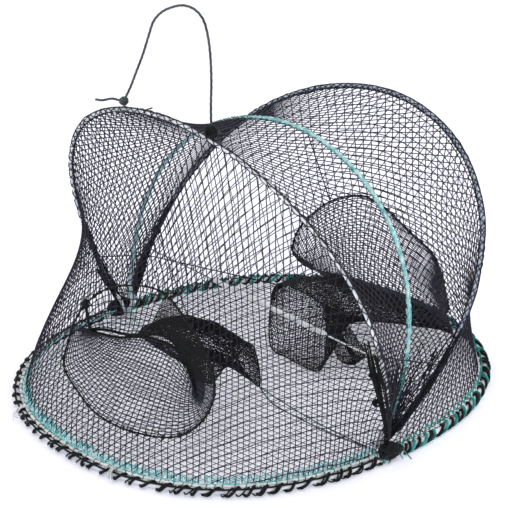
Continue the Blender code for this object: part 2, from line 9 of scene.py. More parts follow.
import bpy
import numpy as np
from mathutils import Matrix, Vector


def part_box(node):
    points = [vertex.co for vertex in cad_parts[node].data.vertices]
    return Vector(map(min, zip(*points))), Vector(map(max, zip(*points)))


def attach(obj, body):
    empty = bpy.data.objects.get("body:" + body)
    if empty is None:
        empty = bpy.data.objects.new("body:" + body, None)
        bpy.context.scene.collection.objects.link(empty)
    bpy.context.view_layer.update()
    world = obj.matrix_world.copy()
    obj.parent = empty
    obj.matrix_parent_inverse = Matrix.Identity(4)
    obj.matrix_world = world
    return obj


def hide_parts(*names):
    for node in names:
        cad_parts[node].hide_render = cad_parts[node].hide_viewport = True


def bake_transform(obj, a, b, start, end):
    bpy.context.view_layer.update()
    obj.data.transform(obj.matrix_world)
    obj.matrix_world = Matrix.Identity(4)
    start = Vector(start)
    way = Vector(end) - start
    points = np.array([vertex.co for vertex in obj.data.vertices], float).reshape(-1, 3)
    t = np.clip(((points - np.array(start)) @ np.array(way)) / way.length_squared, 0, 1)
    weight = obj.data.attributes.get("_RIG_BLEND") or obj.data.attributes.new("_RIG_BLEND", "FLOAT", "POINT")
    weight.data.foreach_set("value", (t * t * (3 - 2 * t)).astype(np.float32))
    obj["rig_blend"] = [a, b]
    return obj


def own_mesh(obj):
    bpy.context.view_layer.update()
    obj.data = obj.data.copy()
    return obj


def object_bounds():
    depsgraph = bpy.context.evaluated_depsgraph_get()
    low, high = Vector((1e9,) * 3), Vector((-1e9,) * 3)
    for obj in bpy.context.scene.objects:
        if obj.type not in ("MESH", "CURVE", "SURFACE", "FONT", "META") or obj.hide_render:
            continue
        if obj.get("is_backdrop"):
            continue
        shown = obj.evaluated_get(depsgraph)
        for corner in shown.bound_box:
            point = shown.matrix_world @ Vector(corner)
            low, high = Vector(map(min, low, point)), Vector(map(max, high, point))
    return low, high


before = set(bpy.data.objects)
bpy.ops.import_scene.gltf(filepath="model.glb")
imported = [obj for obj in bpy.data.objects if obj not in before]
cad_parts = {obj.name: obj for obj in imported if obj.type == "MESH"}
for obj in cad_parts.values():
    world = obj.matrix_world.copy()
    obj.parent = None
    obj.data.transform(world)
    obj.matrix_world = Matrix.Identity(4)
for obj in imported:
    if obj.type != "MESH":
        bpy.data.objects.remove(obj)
CAD_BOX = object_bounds()
rng = np.random.default_rng(7)

# Camera, from the photograph: a long lens 3 m away
CAMERA_DISTANCE = 3.0
CAMERA_ELEVATION = 25.07
CAMERA_HEADING = (0.654, 0.756)
CAMERA_TARGET_HEIGHT = 0.15
CAMERA_LENS = 170.05
CAMERA_SHIFT = (0.0138, 0.0444)

# Hoop and the ropes wound on it, those behind by their pitch, share of it ahead and seed,
# and the ties on it by their place in degrees and seed
HOOP_FRONT = 0.288
HOOP_BACK = 0.315
HOOP_HALF_WIDTH = 0.264
HOOP_SQUARENESS = 2.29
HOOP_ROD_R = 0.003
HOOP_Z = 0.0069
ROPE_R = 0.0021
ROPE_OUT = 0.0048
ROPE_SHIFT = 0.0008
LINE_R = 0.0014
LINE_HEIGHT = HOOP_Z + 0.0042
TWIN_AHEAD = 0.24
ROPE_PITCH = 0.0190
ROPE_LAY = 0.0085
LINE_LAY = 0.006
TWIN_LAY = 0.005
SLANT_PART = 0.6
SLANT_SWING = 0.45
SLANT_PHASE = 1.3
WRAP_LOOSE = 0.14
WRAP_UNEVEN = 0.08
LINE_SWERVE = (0.0014, -0.0022, 0.0004)
HOOP_STEPS = 1100
BACK_R = 0.0020
BACK_OUT = 0.0047
BACK_SHIFT = 0.0004
BACK_PITCH = 0.0240
BACK_TURNS = ((BACK_PITCH, 0.0, 24), (BACK_PITCH * 1.2, 0.30, 25))
TEAL_TURNS = (BACK_PITCH, 0.65, 27)
LASHING_GAP = 0.017 / HOOP_HALF_WIDTH
TIE_PLACES = ((157.0, 3), (196.0, 4))
TIE_R = 0.0006
TIE_WIDE = 0.0082
TIE_HIGH = 0.0075
TIE_START = (0.0075, 0.0100)
TIE_REACH = (0.0150, 0.0085)
TIE_DROP = 0.005

# Band of thread between the hoop and the nets
BAND_OUT = -0.0080
BAND_IN = -0.0165
BAND_LOW = 0.0120
BAND_HIGH = 0.0175
BAND_PITCH = 0.0105
BAND_THREAD_R = 0.0008
BAND_STEP = 0.31
BAND_UNEVEN = 0.10
BAND_WAVE = 0.0012
BAND_QUIVER = 0.0006
BACK_BAND_OUT = -0.0040
BACK_BAND_IN = -0.0062
HEM_OUT = -0.0042
HEM_R = 0.0022
HEM_HEIGHT = 0.0112
HEM_LAY = 0.009
HITCH_R = HEM_R + 0.0004
HITCH_CORD_R = 0.0005
HITCH_PITCH = 0.0125
HITCH_LOOSE = 0.15

# Arches: reach, lean, spread and half the distance between the feet
HINGE_X = (HOOP_FRONT - HOOP_BACK) / 2
HINGE_Z = 0.010
ARCH_SQUARENESS = 1.93
ARCH_SHOWN = {"front": 0.0024, "middle": 0.0018, "back": 0.0024}
FOOT_STRAIGHT = 0.016
BEND_FIRST = 5.6
EYE_R = 0.0032
EYE_WIRE_R = 0.0014
RIDGE_HEIGHT = 0.3205
MIDDLE_LEAN = math.radians(76.0)
BACK_LEAN = math.radians(51.8)
ARCHES = {
    "front": (0.390, math.radians(106.3), 0.154, 0.2530),
    "middle": (RIDGE_HEIGHT / math.sin(MIDDLE_LEAN), MIDDLE_LEAN, 0.097, 0.2400),
    "back": (RIDGE_HEIGHT / math.sin(BACK_LEAN), BACK_LEAN, 0.123, 0.2465),
}
FRONT_FOLD = 59.0
BACK_FOLD = 41.0
BACK_SHARE = -BACK_FOLD / FRONT_FOLD
MIDDLE_SHARE = -1.0

# Lashings at the hinges: place across and up, half sizes of the black turns and of the lighter loops that
# paint highlights on them, and the pin between arch feet
LASHING_PLACE = (0.2620, 0.0118)
LASHING_HALF = (0.0165, 0.0100, 0.0100)
HIGHLIGHT_LOOPS_HALF = (0.0200, 0.0118, 0.0116)
HINGE_PIN = (0.2320, 0.2545)
HINGE_PIN_R = 0.0016
LASHING_CORD_R = 0.0024
HIGHLIGHT_LOOP_CORD_R = 0.0012
END_R = 0.0008
END_LENGTH = (0.010, 0.018)
END_LOWEST = 0.0012

# Lacing, outlines and bundles on the arches
LACING_OUT = 0.0031
OUTLINE_R = 0.0008
LACING_STEP = 0.012
LACING_UNEVEN = 0.10
BUNCH_THREAD_R = (0.0007, 0.0012)
GATHER_THREAD_R = (0.0005, 0.0009)
THREAD_LOWEST = 0.002
LEG_KNOT_R = 0.0050
LEG_KNOT_CORD_R = 0.0011
BUNCH_ASIDE = np.array([-0.0095, 0.0082, 0.0])

# Netting
TWINE_R = 0.00063
KNOT_R = 0.00175
UNEVEN = 0.0011
NET_FIRST = 3.0
DIAMOND_WIDTH = 0.0120
DIAMOND_HEIGHT = 0.0175
SQUARE_WIDTH = 0.0130
SQUARE_HEIGHT = 0.0114
FLOOR_WIDTH = 0.0150
FLOOR_DEPTH = 0.0125
SELVEDGE_IN = 0.0088
SELVEDGE_UP = 0.0085
TRAP_MIDDLE = (HINGE_X, 0.0, 0.10)
FRONT_SAG = 0.125
BACK_SAG = 0.05
CROWN_SAG = 0.07
RIDGE_SAG = 0.06
CROWN_ROWS = 10
RIDGE_ROWS = 8
GATHER_REACH = 0.070
GATHER_MOST = 0.40
FLOOR_REACH = 0.33
FLOOR_INSET = 0.0100
FLOOR_HEIGHT = 0.0012
FLOOR_TWINE_R = 0.00042
FLOOR_KNOT_R = 0.0011
FLOOR_UNEVEN = 0.0009


def thousandths(*rows):
    return [np.array(row) / 1000 for row in rows]


# Mouths of the funnels, as shares along and up their panels, from the far side under to the near
FRONT_RIM = thousandths(
    (632, 300), (615, 230), (597, 180), (532, 142), (474, 117), (391, 117), (322, 146),
    (293, 222), (297, 326), (336, 418), (405, 485), (466, 519), (526, 506), (599, 448),
    (631, 372),
)
BACK_RIM = thousandths(
    (713, 170), (690, 75), (620, 45), (540, 40), (460, 50), (418, 85), (413, 180), (411, 280),
    (428, 364), (481, 414), (534, 490), (578, 515), (638, 460), (687, 347), (707, 250),
)

# Sleeves: closed rings, each from its far side under to the near side and back over the
# top. The fold beside the back one is lines from its top to its bottom.
FRONT_SLEEVE = thousandths(
    ((-162.5, 131, 74), (-162, 73, 86), (-162, 19, 107), (-162, -40, 113), (-162.5, -70, 86),
     (-162.5, -79, 64), (-163, -74.5, 90), (-163, -45, 118), (-163, -10, 121), (-163, 49, 99),
     (-163, 100, 87)),
    ((-142, 42, 104), (-142, 8, 88), (-140, -34, 80), (-138, -70, 70), (-137, -76, 78),
     (-137, -60, 110), (-136, -34, 142), (-136, -10, 138), (-140, 26, 118)),
    ((-115, 40, 98), (-115, 0, 86), (-113, -40, 82), (-110, -69, 82), (-109, -74, 92),
     (-109, -62, 118), (-109, -48, 135), (-112, -20, 128), (-115, 16, 112)),
    ((-92, -12, 92), (-92, -36, 76), (-90, -60, 70), (-88, -74, 72), (-87, -78, 86),
     (-87, -71, 104), (-87, -62, 117), (-89, -44, 113), (-91, -24, 104)),
    ((-68, -46, 70), (-66, -60, 54), (-64, -72, 46), (-63, -80, 44), (-63, -82, 56),
     (-64, -79, 78), (-66, -72, 98), (-67, -62, 94), (-68, -52, 84)),
)
BACK_SLEEVE = thousandths(
    ((187.5, 75, 60), (187.5, 30, 60), (187.5, -30, 63), (187.5, -80, 64), (187.5, -130, 66),
     (187.5, -166, 70), (187.5, -125, 83), (187.5, -70, 81), (187.5, -20, 78), (187.5, 40, 74)),
    ((160, 70, 62), (158, 30, 52), (157, -10, 50), (157, -50, 54), (160, -82, 60), (162, -86, 70),
     (160, -50, 81), (158, 0, 84), (159, 45, 80)),
    ((120, 66, 70), (120, 30, 50), (120, -10, 48), (120, -40, 54), (120, -52, 66), (120, -42, 88),
     (118, -10, 104), (117, 26, 100), (119, 52, 90)),
    ((92, 58, 70), (92, 44, 26), (92, 8, 14), (92, -36, 18), (92, -54, 48), (91, -48, 92),
     (90, -16, 108), (90, 24, 102), (91, 48, 92)),
    ((72, 52, 66), (70, 50, 8), (69, 20, 3), (69, -24, 3), (70, -50, 12), (72, -55, 60),
     (75, -46, 96), (75, 0, 103), (76, 43, 96)),
)
WEDGE = thousandths(
    ((118, -4, 72), (120, -30, 66), (120, -48, 54), (120, -66, 40), (120, -80, 31)),
    ((112, -4, 58), (116, -26, 48), (116, -46, 34), (116, -64, 24), (118, -79, 24)),
    ((116, -4, 50), (120, -24, 34), (122, -40, 20), (120, -56, 10), (118, -70, 14)),
    ((112, -10, 36), (114, -26, 18), (112, -36, 6), (112, -50, 4), (114, -64, 8)),
)
SLIT_END = (-0.1615, 0.035, 0.104)

# Mouths, funnels and sleeves
MOUTH_POINTS = 120
SLIT_POINT = 115
MOUTH_CORD_R = 0.0013
MOUTH_KNOT_R = 0.0023
MOUTH_LUMP_R = 0.0055
FUNNEL_COLUMN = 0.0085
FUNNEL_ROW = 0.0034
FUNNEL_TWINE_R = 0.00064
FUNNEL_UNEVEN = 0.0006
FUNNEL_WAIST = 0.95
FUNNEL_SKEW = 0.10
FUNNEL_PARTS = {"front": (0.0, 0.53, 0.75, 1.0), "back": (0.0, 1.0, 1.0, 1.0)}
COARSE_FUNNEL = 0.0110
SLEEVE_MESH = 0.0048
SLEEVE_TWINE_R = 0.00052
SLEEVE_UNEVEN = 0.0014
SLEEVE_END_R = 0.0010
FINE_KNOT_R = 0.0008
SEAM_R = 0.0022
SEAM_LAY = 0.008
SLIT_LAY = 0.007
HOOD_MESHES = (40, 20)
WEDGE_MESHES = (26, 18)
WEDGE_UNEVEN = 0.0012

# Turns on the arches, from the near foot, where cords are tied. The lifts of the back mouth
# have their turn on the middle arch and the point of the mouth that they hold.
DRAW_KNOT_TURN = 80.4
BAIT_NEAR_TURN = 24.2
BAIT_FAR_TURN = 166.5
SPREADER_TURNS = (24.8, 18.1)
FRONT_GUY_TURN = 162.6
BACK_GUY_TURN = 167.4
PAST_BACK_TURN = 168.0
MOUTH_LIFTS = (("near", 62.0, 88), ("far", 86.0, 100))

# Cords inside
BAR_NEAR = (-0.0355, -0.168, 0.140)
BAR_FAR = (0.0105, 0.091, 0.105)
BAR_R = 0.003
BAIT_LINE_R = 0.0011
FAR_FOOT = np.array([HINGE_X, 0.2450, 0.0130])
NEAR_LUMP = np.array([HINGE_X - 0.012, -0.2500, 0.012])
TWIN_PLACE = (-0.064, -0.110, 0.030)
GUY_R = 0.0009
GUY_LAY = 0.005
THIN_LAY = 0.006
WOUND_LAY = 0.009

# Handle rope: the middle line between its knots, across and up
HANDLE_R = 0.0017
HANDLE_LAY = 0.010
HANDLE_KNOT_R = 0.0065
DRAW_KNOT_R = 0.0095
KNOT_CLEAR = 0.0003
KNOT_CORD_R = 0.0017
TAIL_R = 0.0011
HANDLE_ROUTE = thousandths(
    (88, 405), (76, 428), (63, 453), (52, 478), (42, 499), (27, 514), (8, 525), (-14, 533),
    (-35, 533), (-50, 524), (-58, 505), (-62, 480), (-63, 452), (-62, 425),
)

# Cord: where its patches of tone end, the spread of its roughness, its gloss and its lobes
PATCH_EDGES = (0.38, 0.62)
ROUGHNESS_SPREAD = 0.12
CORD_GLOSS = 0.12
ROD_GLOSS = 0.5
LOBE_DEPTH = 0.14

# Ground and light
FLOOR_HALF = 12.0
FLOOR_COLOUR = (0.80, 0.80, 0.90, 1.0)
FLOOR_GLOW = (0.95, 0.95, 1.0, 1.0)
FLOOR_GLOW_STRENGTH = 0.31
SKY_STRENGTH = 0.85
LAMPS = (("key", (-1.6, -1.4, 2.6), 26.0), ("fill", (1.8, -0.6, 1.8), 10.0))
LAMP_SIZE = 1.6


def new_object(name, data):
    item = bpy.data.objects.new(name, data)
    bpy.context.scene.collection.objects.link(item)
    return item


def make_camera():
    data = bpy.data.cameras.new("camera")
    data.lens = CAMERA_LENS
    data.shift_x, data.shift_y = CAMERA_SHIFT
    item = new_object("camera", data)
    lift = math.radians(CAMERA_ELEVATION)
    ahead = Vector((*CAMERA_HEADING, 0.0)).normalized() * math.cos(lift)
    ahead.z = -math.sin(lift)
    target = Vector((HINGE_X, 0.0, CAMERA_TARGET_HEIGHT))
    item.location = target - ahead * CAMERA_DISTANCE
    item.rotation_euler = ahead.to_track_quat("-Z", "Y").to_euler()
    bpy.context.scene.camera = item


make_camera()


# Curves of the frame


def unit(v):
    return v / np.maximum(np.linalg.norm(v, axis=-1, keepdims=True), 1e-12)


def circle(count):
    """Even angles once round."""
    return np.linspace(0, 2 * np.pi, count, endpoint=False)


def steps_of(path):
    """The distances from each point of a line to the next."""
    return np.linalg.norm(np.diff(path, axis=0), axis=1)


def running(steps):
    """How far along a line each of its points is, from its steps."""
    return np.concatenate([[0.0], np.cumsum(steps)])


def hoop_plan(angle):
    length = np.where(np.cos(angle) > 0, HOOP_BACK, HOOP_FRONT)
    n = HOOP_SQUARENESS
    across = np.abs(np.cos(angle) / length) ** n + np.abs(np.sin(angle) / HOOP_HALF_WIDTH) ** n
    reach = across ** (-1 / n)
    x = HINGE_X + reach * np.cos(angle)
    return np.stack([x, reach * np.sin(angle), np.zeros_like(x)], -1)


def hoop_curve(angle, outward=0.0, height=HOOP_Z):
    """Points beside the hoop: outward from its centre line, square to it, at a height."""
    angle = np.asarray(angle, float)
    step = 0.002
    tangent = unit(hoop_plan(angle + step) - hoop_plan(angle - step))
    normal = np.stack([tangent[..., 1], -tangent[..., 0], np.zeros_like(angle)], -1)
    up = np.zeros_like(normal)
    up[..., 2] = height
    return hoop_plan(angle) + normal * np.asarray(outward)[..., None] + up


def arch_flat(arch, turn):
    """Points of an arch in its own plane: across it, and up from its feet."""
    reach, _, spread, foot = ARCHES[arch]
    cosine, sine = np.cos(np.radians(turn)), np.abs(np.sin(np.radians(turn)))
    power = 2 / ARCH_SQUARENESS
    across = -np.sign(cosine) * np.abs(cosine) ** power * (foot + spread * sine)
    return across, reach * sine**power


def arch_curve(arch, turn, outward=0.0, aside=0.0):
    """Points on an arch, from the near foot at 0 to the far one at 180.

    outward is off the rod in the arch's own plane, and aside is square to that plane.
    """
    turn = np.asarray(turn, float)
    across, reach = arch_flat(arch, turn)
    a0, r0 = arch_flat(arch, np.maximum(turn - 0.5, 0.0))
    a1, r1 = arch_flat(arch, np.minimum(turn + 0.5, 180.0))
    length = np.hypot(a1 - a0, r1 - r0)
    across = across - (r1 - r0) / length * outward
    reach = reach + (a1 - a0) / length * outward
    lean = ARCHES[arch][1]
    x = HINGE_X + reach * math.cos(lean) + aside * math.sin(lean)
    z = HINGE_Z + reach * math.sin(lean) - aside * math.cos(lean)
    return np.stack([x, across, z], -1)


def smooth_step(a, b, c, d, t):
    """A smooth curve from b to c, with a before them and d after."""
    one = 2 * b + (c - a) * t
    two = (2 * a - 5 * b + 4 * c - d) * t**2
    three = (3 * b - a - 3 * c + d) * t**3
    return (one + two + three) / 2


def resample(points, count):
    """Evenly spaced points along a polyline."""
    along = running(steps_of(points))
    wanted = np.linspace(0.0, along[-1], count)
    return np.stack([np.interp(wanted, along, points[:, k]) for k in range(3)], -1)


def spline(points, count, closed=False):
    """Even points on a smooth curve through a list of points."""
    p = np.asarray(points, float)
    if closed:
        ends = np.vstack([p[-1:], p, p[:2]])
    else:
        ends = np.vstack([2 * p[0] - p[1], p, 2 * p[-1] - p[-2]])
    t = np.linspace(0.0, 1.0, 16, endpoint=False)[:, None]
    fine = [smooth_step(*four, t) for four in zip(ends, ends[1:], ends[2:], ends[3:])]
    return resample(np.vstack([*fine, ends[-2:-1]]), count)


def sagging(start, end, sag, count=40):
    """A cord between two places, hanging down by its sag in the middle."""
    start, end = np.asarray(start, float), np.asarray(end, float)
    t = np.linspace(0.0, 1.0, count)[:, None]
    path = start + (end - start) * t
    path[:, 2] -= (4 * sag * t * (1 - t))[:, 0]
    return path


def taut(start, end):
    """A tight cord. Only its long middle length stretches as the arches part."""
    start, end = np.asarray(start, float), np.asarray(end, float)
    return start + (end - start) * np.array([0.0, 0.03, 0.97, 1.0])[:, None]


# Materials


def colour(text):
    """A linear colour from its written sRGB value."""
    parts = [int(text[k : k + 2], 16) / 255 for k in (1, 3, 5)]
    linear = [c / 12.92 if c <= 0.04045 else ((c + 0.055) / 1.055) ** 2.4 for c in parts]
    return (*linear, 1.0)


def new_material(name):
    made = bpy.data.materials.new(name)
    made.use_nodes = True
    return made, made.node_tree.nodes["Principled BSDF"]


def set_inputs(*rows):
    for node, socket, value in rows:
        node.inputs[socket].default_value = value


def cord_material(name, dark, light, spot, roughness, bump, fibre, sheen=0.3):
    """Cord or rod: two tones in patches of a given size, with fine fibres in relief."""
    made, shader = new_material(name)
    where, patches, ramp, threads, relief, rough = (
        made.node_tree.nodes.new("ShaderNode" + kind)
        for kind in ("TexCoord", "TexNoise", "ValToRGB", "TexNoise", "Bump", "MapRange")
    )
    set_inputs(
        (patches, "Scale", 1 / spot),
        (patches, "Detail", 4.0),
        (threads, "Scale", 1 / fibre),
        (threads, "Detail", 3.0),
        (relief, "Strength", bump),
        (relief, "Distance", fibre),
        (rough, "To Min", roughness - ROUGHNESS_SPREAD),
        (rough, "To Max", roughness + ROUGHNESS_SPREAD),
        (shader, "Sheen Weight", sheen),
        (shader, "Specular IOR Level", CORD_GLOSS if sheen else ROD_GLOSS),
    )
    for element, place, tone in zip(ramp.color_ramp.elements, PATCH_EDGES, (dark, light)):
        element.position = place
        element.color = colour(tone)
    for source, output, target, socket in (
        (where, "Object", patches, "Vector"),
        (where, "Object", threads, "Vector"),
        (patches, "Fac", ramp, "Fac"),
        (ramp, "Color", shader, "Base Color"),
        (threads, "Fac", relief, "Height"),
        (relief, "Normal", shader, "Normal"),
        (threads, "Fac", rough, "Value"),
        (rough, "Result", shader, "Roughness"),
    ):
        made.node_tree.links.new(source.outputs[output], target.inputs[socket])
    return made


COATED_ROD = cord_material("coated_rod", "#c9ced4", "#eef1f3", 0.020, 0.34, 0.10, 0.0012, 0.0)
DULL_ROD = cord_material("dull_rod", "#96a2b8", "#c6cfdd", 0.020, 0.40, 0.10, 0.0012, 0.0)
BLACK_ROPE = cord_material("black_rope", "#07080a", "#1f2124", 0.005, 0.66, 0.60, 0.0007, 0.05)
NET_TWINE = cord_material("net_twine", "#0f0e19", "#232033", 0.010, 0.74, 0.40, 0.0004, 0.1)
FUNNEL_TWINE = cord_material("funnel_twine", "#14131e", "#2b2a3b", 0.010, 0.72, 0.40, 0.0004, 0.1)
SLEEVE_TWINE = cord_material("sleeve_twine", "#040506", "#101114", 0.008, 0.76, 0.40, 0.0004, 0.05)
TEAL_CORD = cord_material("teal_cord", "#11685f", "#2fb3ab", 0.012, 0.55, 0.45, 0.0006)
DEEP_TEAL = cord_material("deep_teal", "#123f3b", "#1f7f76", 0.014, 0.58, 0.45, 0.0006)
PALE_CORD = cord_material("pale_cord", "#57b9bd", "#bfeaea", 0.009, 0.50, 0.40, 0.0006)
ARCH_CORD = cord_material("arch_cord", "#0f1018", "#292c38", 0.012, 0.68, 0.40, 0.0005, 0.1)
BAND_CORD = cord_material("band_cord", "#3fb4b9", "#c4f0f5", 0.007, 0.50, 0.40, 0.0006)
FAR_CORD = cord_material("far_cord", "#6fa5ae", "#a9cdd4", 0.014, 0.55, 0.40, 0.0006)
HANDLE_CORD = cord_material("handle_cord", "#2c3032", "#4d5356", 0.007, 0.62, 0.55, 0.0007)
GREY_CORD = cord_material("grey_cord", "#26383b", "#52686a", 0.010, 0.62, 0.45, 0.0005)
WHITE_CORD = cord_material("white_cord", "#c6cbcc", "#f0f2f2", 0.008, 0.55, 0.45, 0.0005)


# Meshes


def mesh_object(name, points, faces, surface):
    """A mesh from an array of points and one of four-cornered faces."""
    mesh = bpy.data.meshes.new(name)
    count = len(faces)
    mesh.vertices.add(len(points))
    mesh.vertices.foreach_set("co", np.asarray(points, np.float32).ravel())
    mesh.loops.add(count * 4)
    mesh.loops.foreach_set("vertex_index", faces.astype(np.int32).ravel())
    mesh.polygons.add(count)
    mesh.polygons.foreach_set("loop_start", np.arange(0, count * 4, 4, dtype=np.int32))
    mesh.polygons.foreach_set("use_smooth", np.full(count, True))
    mesh.update(calc_edges=True)
    mesh.validate()
    mesh.materials.append(surface)
    return new_object(name, mesh)


def rings_along(path, radius, sides, normal=None, closed=False, lay=None):
    """Rings of points round a path, and the faces between them.

    A lay gives the rings the three lobes of a twisted rope, one turn in that length.
    """
    path = np.asarray(path, float)
    count = len(path)
    if closed:
        tangent = unit(np.roll(path, -1, 0) - np.roll(path, 1, 0))
    else:
        tangent = unit(np.gradient(path, axis=0))
    if normal is None:
        across = np.empty_like(path)
        last = np.array([0.0, 0.0, 1.0])
        if abs(tangent[0] @ last) > 0.9:
            last = np.array([1.0, 0.0, 0.0])
        for i in range(count):
            last = unit(last - tangent[i] * (last @ tangent[i]))
            across[i] = last
    else:
        across = unit(normal - tangent * np.sum(normal * tangent, -1, keepdims=True))
    beside = np.cross(tangent, across)
    phi = 2 * np.pi * (np.arange(sides) + 0.5) / sides
    size = np.full((count, sides), float(radius))
    if lay:
        twist = 2 * np.pi * running(steps_of(path)) / lay
        size = size * (1 - LOBE_DEPTH + LOBE_DEPTH * np.cos(3 * (phi[None, :] - twist[:, None])))
    ring = (
        path[:, None, :]
        + across[:, None, :] * (np.cos(phi) * size)[..., None]
        + beside[:, None, :] * (np.sin(phi) * size)[..., None]
    )
    i = np.arange(count if closed else count - 1)[:, None]
    j = np.arange(sides)[None, :]
    nxt = (i + 1) % count
    k = (j + 1) % sides
    faces = np.stack([i * sides + j, nxt * sides + j, nxt * sides + k, i * sides + k], -1)
    return ring.reshape(-1, 3), faces.reshape(-1, 4)


def merge(parts):
    """One array of points and one of faces from several."""
    points, faces, start = [], [], 0
    for p, f in parts:
        points.append(p)
        faces.append(f + start)
        start += len(p)
    return np.vstack(points), np.vstack(faces)


def cap_tube(points, faces, sides):
    """Closes both ends of one open tube with small rounded tips."""
    first, last = points[:sides], points[-sides:]
    inner, outer = first.mean(0), last.mean(0)
    size = np.linalg.norm(first[0] - inner)
    back = unit(inner - points[sides : 2 * sides].mean(0)) * size * 0.6
    ahead = unit(outer - points[-2 * sides : -sides].mean(0)) * size * 0.6
    a = len(points)
    b, low = a + sides, a - sides
    tips = [inner + (first - inner) * 0.55 + back, outer + (last - outer) * 0.55 + ahead]
    made = []
    for j in range(sides):
        k = (j + 1) % sides
        made.append((a + j, j, k, a + k))
        made.append((low + j, b + j, b + k, low + k))
    for j in range(1, sides // 2):
        made.append((a, a + j * 2 - 1, a + j * 2, a + (j * 2 + 1) % sides))
        made.append((b, b + (j * 2 + 1) % sides, b + j * 2, b + j * 2 - 1))
    return np.vstack([points, *tips]), np.vstack([faces, np.array(made)])


def strand(path, radius, sides=5, closed=False, lay=None):
    """A cord along a path, with rounded ends unless it is closed."""
    points, faces = rings_along(path, radius, sides, None, closed, lay)
    return (points, faces) if closed else cap_tube(points, faces, sides)


def finish_piece(piece, slot, *nodes, body=None, fold=None):
    """Hides the model's parts that a piece stands for, and gives the piece a body or a way to fold. slot is
    not used.
    """
    if nodes:
        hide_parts(*nodes)
    if body:
        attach(piece, body)
    if fold:
        fold_with(piece, fold)
    return piece


def cords(name, strands, surface, slot, *nodes, body="base", fold=None):
    """Several cords in one finished piece."""
    piece = mesh_object(name, *merge(strands), surface)
    return finish_piece(piece, slot, *nodes, body=None if fold else body, fold=fold)


KNOT_DIRECTIONS = np.array(
    [(1, 0, 0), (0, 1, 0), (-1, 0, 0), (0, -1, 0), (0, 0, 1), (0, 0, -1)], float
)
KNOT_FACES = np.array(
    [(0, 1, 4, 4), (1, 2, 4, 4), (2, 3, 4, 4), (3, 0, 4, 4)]
    + [(1, 0, 5, 5), (2, 1, 5, 5), (3, 2, 5, 5), (0, 3, 5, 5)]
)


# Netting


def diamond_strands(columns, rows, closed):
    """The crossings that each strand of a diamond net passes, as index arrays."""
    last_i, last_j = 2 * columns, 2 * rows
    for step in (1, -1):
        if closed:
            for i in range(0, last_i, 2):
                j = np.arange(last_j + 1)
                yield (i + step * j) % last_i, j
            continue
        for i in range(0, last_i + 1, 2):
            length = min(last_i - i if step > 0 else i, last_j)
            if length:
                k = np.arange(length + 1)
                yield i + step * k, k
        for j in range(2, last_j, 2):
            k = np.arange(min(last_i, last_j - j) + 1)
            yield (k if step > 0 else last_i - k), j + k


def square_strands(columns, rows, closed):
    """The same for a net hung square, with strands along and across."""
    i, j = np.arange(columns + 1), np.arange(rows + 1)
    if closed:
        i = i % columns
    along = [(i, np.full_like(i, k)) for k in range(1, rows)]
    across = [(np.full_like(j, k), j) for k in range(0 if closed else 1, columns)]
    return along + across


def wander(places, size, seed):
    """Small even shifts that make a net's meshes uneven, the same on every run."""
    local = np.random.default_rng(seed)
    shift = np.zeros_like(places)
    for _ in range(7):
        wave = local.normal(size=3) * 2 * np.pi / local.uniform(0.06, 0.16)
        push = local.normal(size=3)
        shift += np.sin(places @ wave + local.uniform(0, 6.28))[..., None] * push
    return shift * size / 2.6 + local.normal(size=places.shape) * size * 0.22


def to_rim(hole, outside, inside):
    """The shares between two crossings where a strand meets the rim of a hole."""
    low, high = outside, inside
    for _ in range(12):
        middle = (low + high) / 2
        if hole(*middle):
            high = middle
        else:
            low = middle
    return low


def net_piece(name, surface, columns, rows, seed, twine=TWINE_R, material=NET_TWINE,
              square=False, closed=False, hole=None, uneven=UNEVEN, knots=KNOT_R):
    """A knotted net over a surface, of diamond or square meshes, with its strands as cords.

    surface takes shares along and across and gives places; hole tells which shares lie in a
    gap of the net, where the strands end at the rim.
    """
    scale = 1 if square else 2
    shares = np.stack(np.meshgrid(np.linspace(0.0, 1.0, scale * columns + 1),
                                  np.linspace(0.0, 1.0, scale * rows + 1), indexing="ij"), -1)
    if closed:
        shares = shares[:-1]
    places = surface(shares[..., 0], shares[..., 1])
    if closed:
        along = np.roll(places, -1, 0) - np.roll(places, 1, 0)
    else:
        along = np.gradient(places, axis=0)
    normals = unit(np.cross(along, np.gradient(places, axis=1)))
    loose = wander(places, uneven, seed)
    loose -= normals * np.sum(loose * normals, -1, keepdims=True)
    if not closed:
        loose[0], loose[-1] = 0.0, 0.0
    loose[:, 0], loose[:, -1] = 0.0, 0.0
    places = places + loose
    gone = hole(shares[..., 0], shares[..., 1]) if hole else np.zeros(places.shape[:2], bool)
    pattern = square_strands if square else diamond_strands
    parts = []
    for i, j in pattern(columns, rows, closed):
        path, normal, inside, share = places[i, j], normals[i, j], gone[i, j], shares[i, j]
        for run in np.split(np.arange(len(path)), np.flatnonzero(np.diff(inside)) + 1):
            if inside[run[0]]:
                continue
            piece, up = path[run], normal[run]
            if hole and run[0] > 0:
                rim = to_rim(hole, share[run[0]], share[run[0] - 1])
                piece, up = np.vstack([surface(*rim)[None], piece]), np.vstack([up[:1], up])
            if hole and run[-1] < len(path) - 1:
                rim = to_rim(hole, share[run[-1]], share[run[-1] + 1])
                piece, up = np.vstack([piece, surface(*rim)[None]]), np.vstack([up, up[-1:]])
            if len(piece) > 1:
                parts.append(rings_along(piece, twine, 4, up))
    tied = ~gone
    if not square:
        tied &= (np.add.outer(np.arange(gone.shape[0]), np.arange(gone.shape[1])) % 2) == 0
    spots = places[tied]
    size = knots * (0.85 + 0.3 * rng.random(len(spots)))
    points = spots[:, None, :] + KNOT_DIRECTIONS[None] * size[:, None, None]
    faces = KNOT_FACES[None] + (np.arange(len(spots)) * 6)[:, None, None]
    parts.append((points.reshape(-1, 3), faces.reshape(-1, 4)))
    return mesh_object(name, *merge(parts), material)


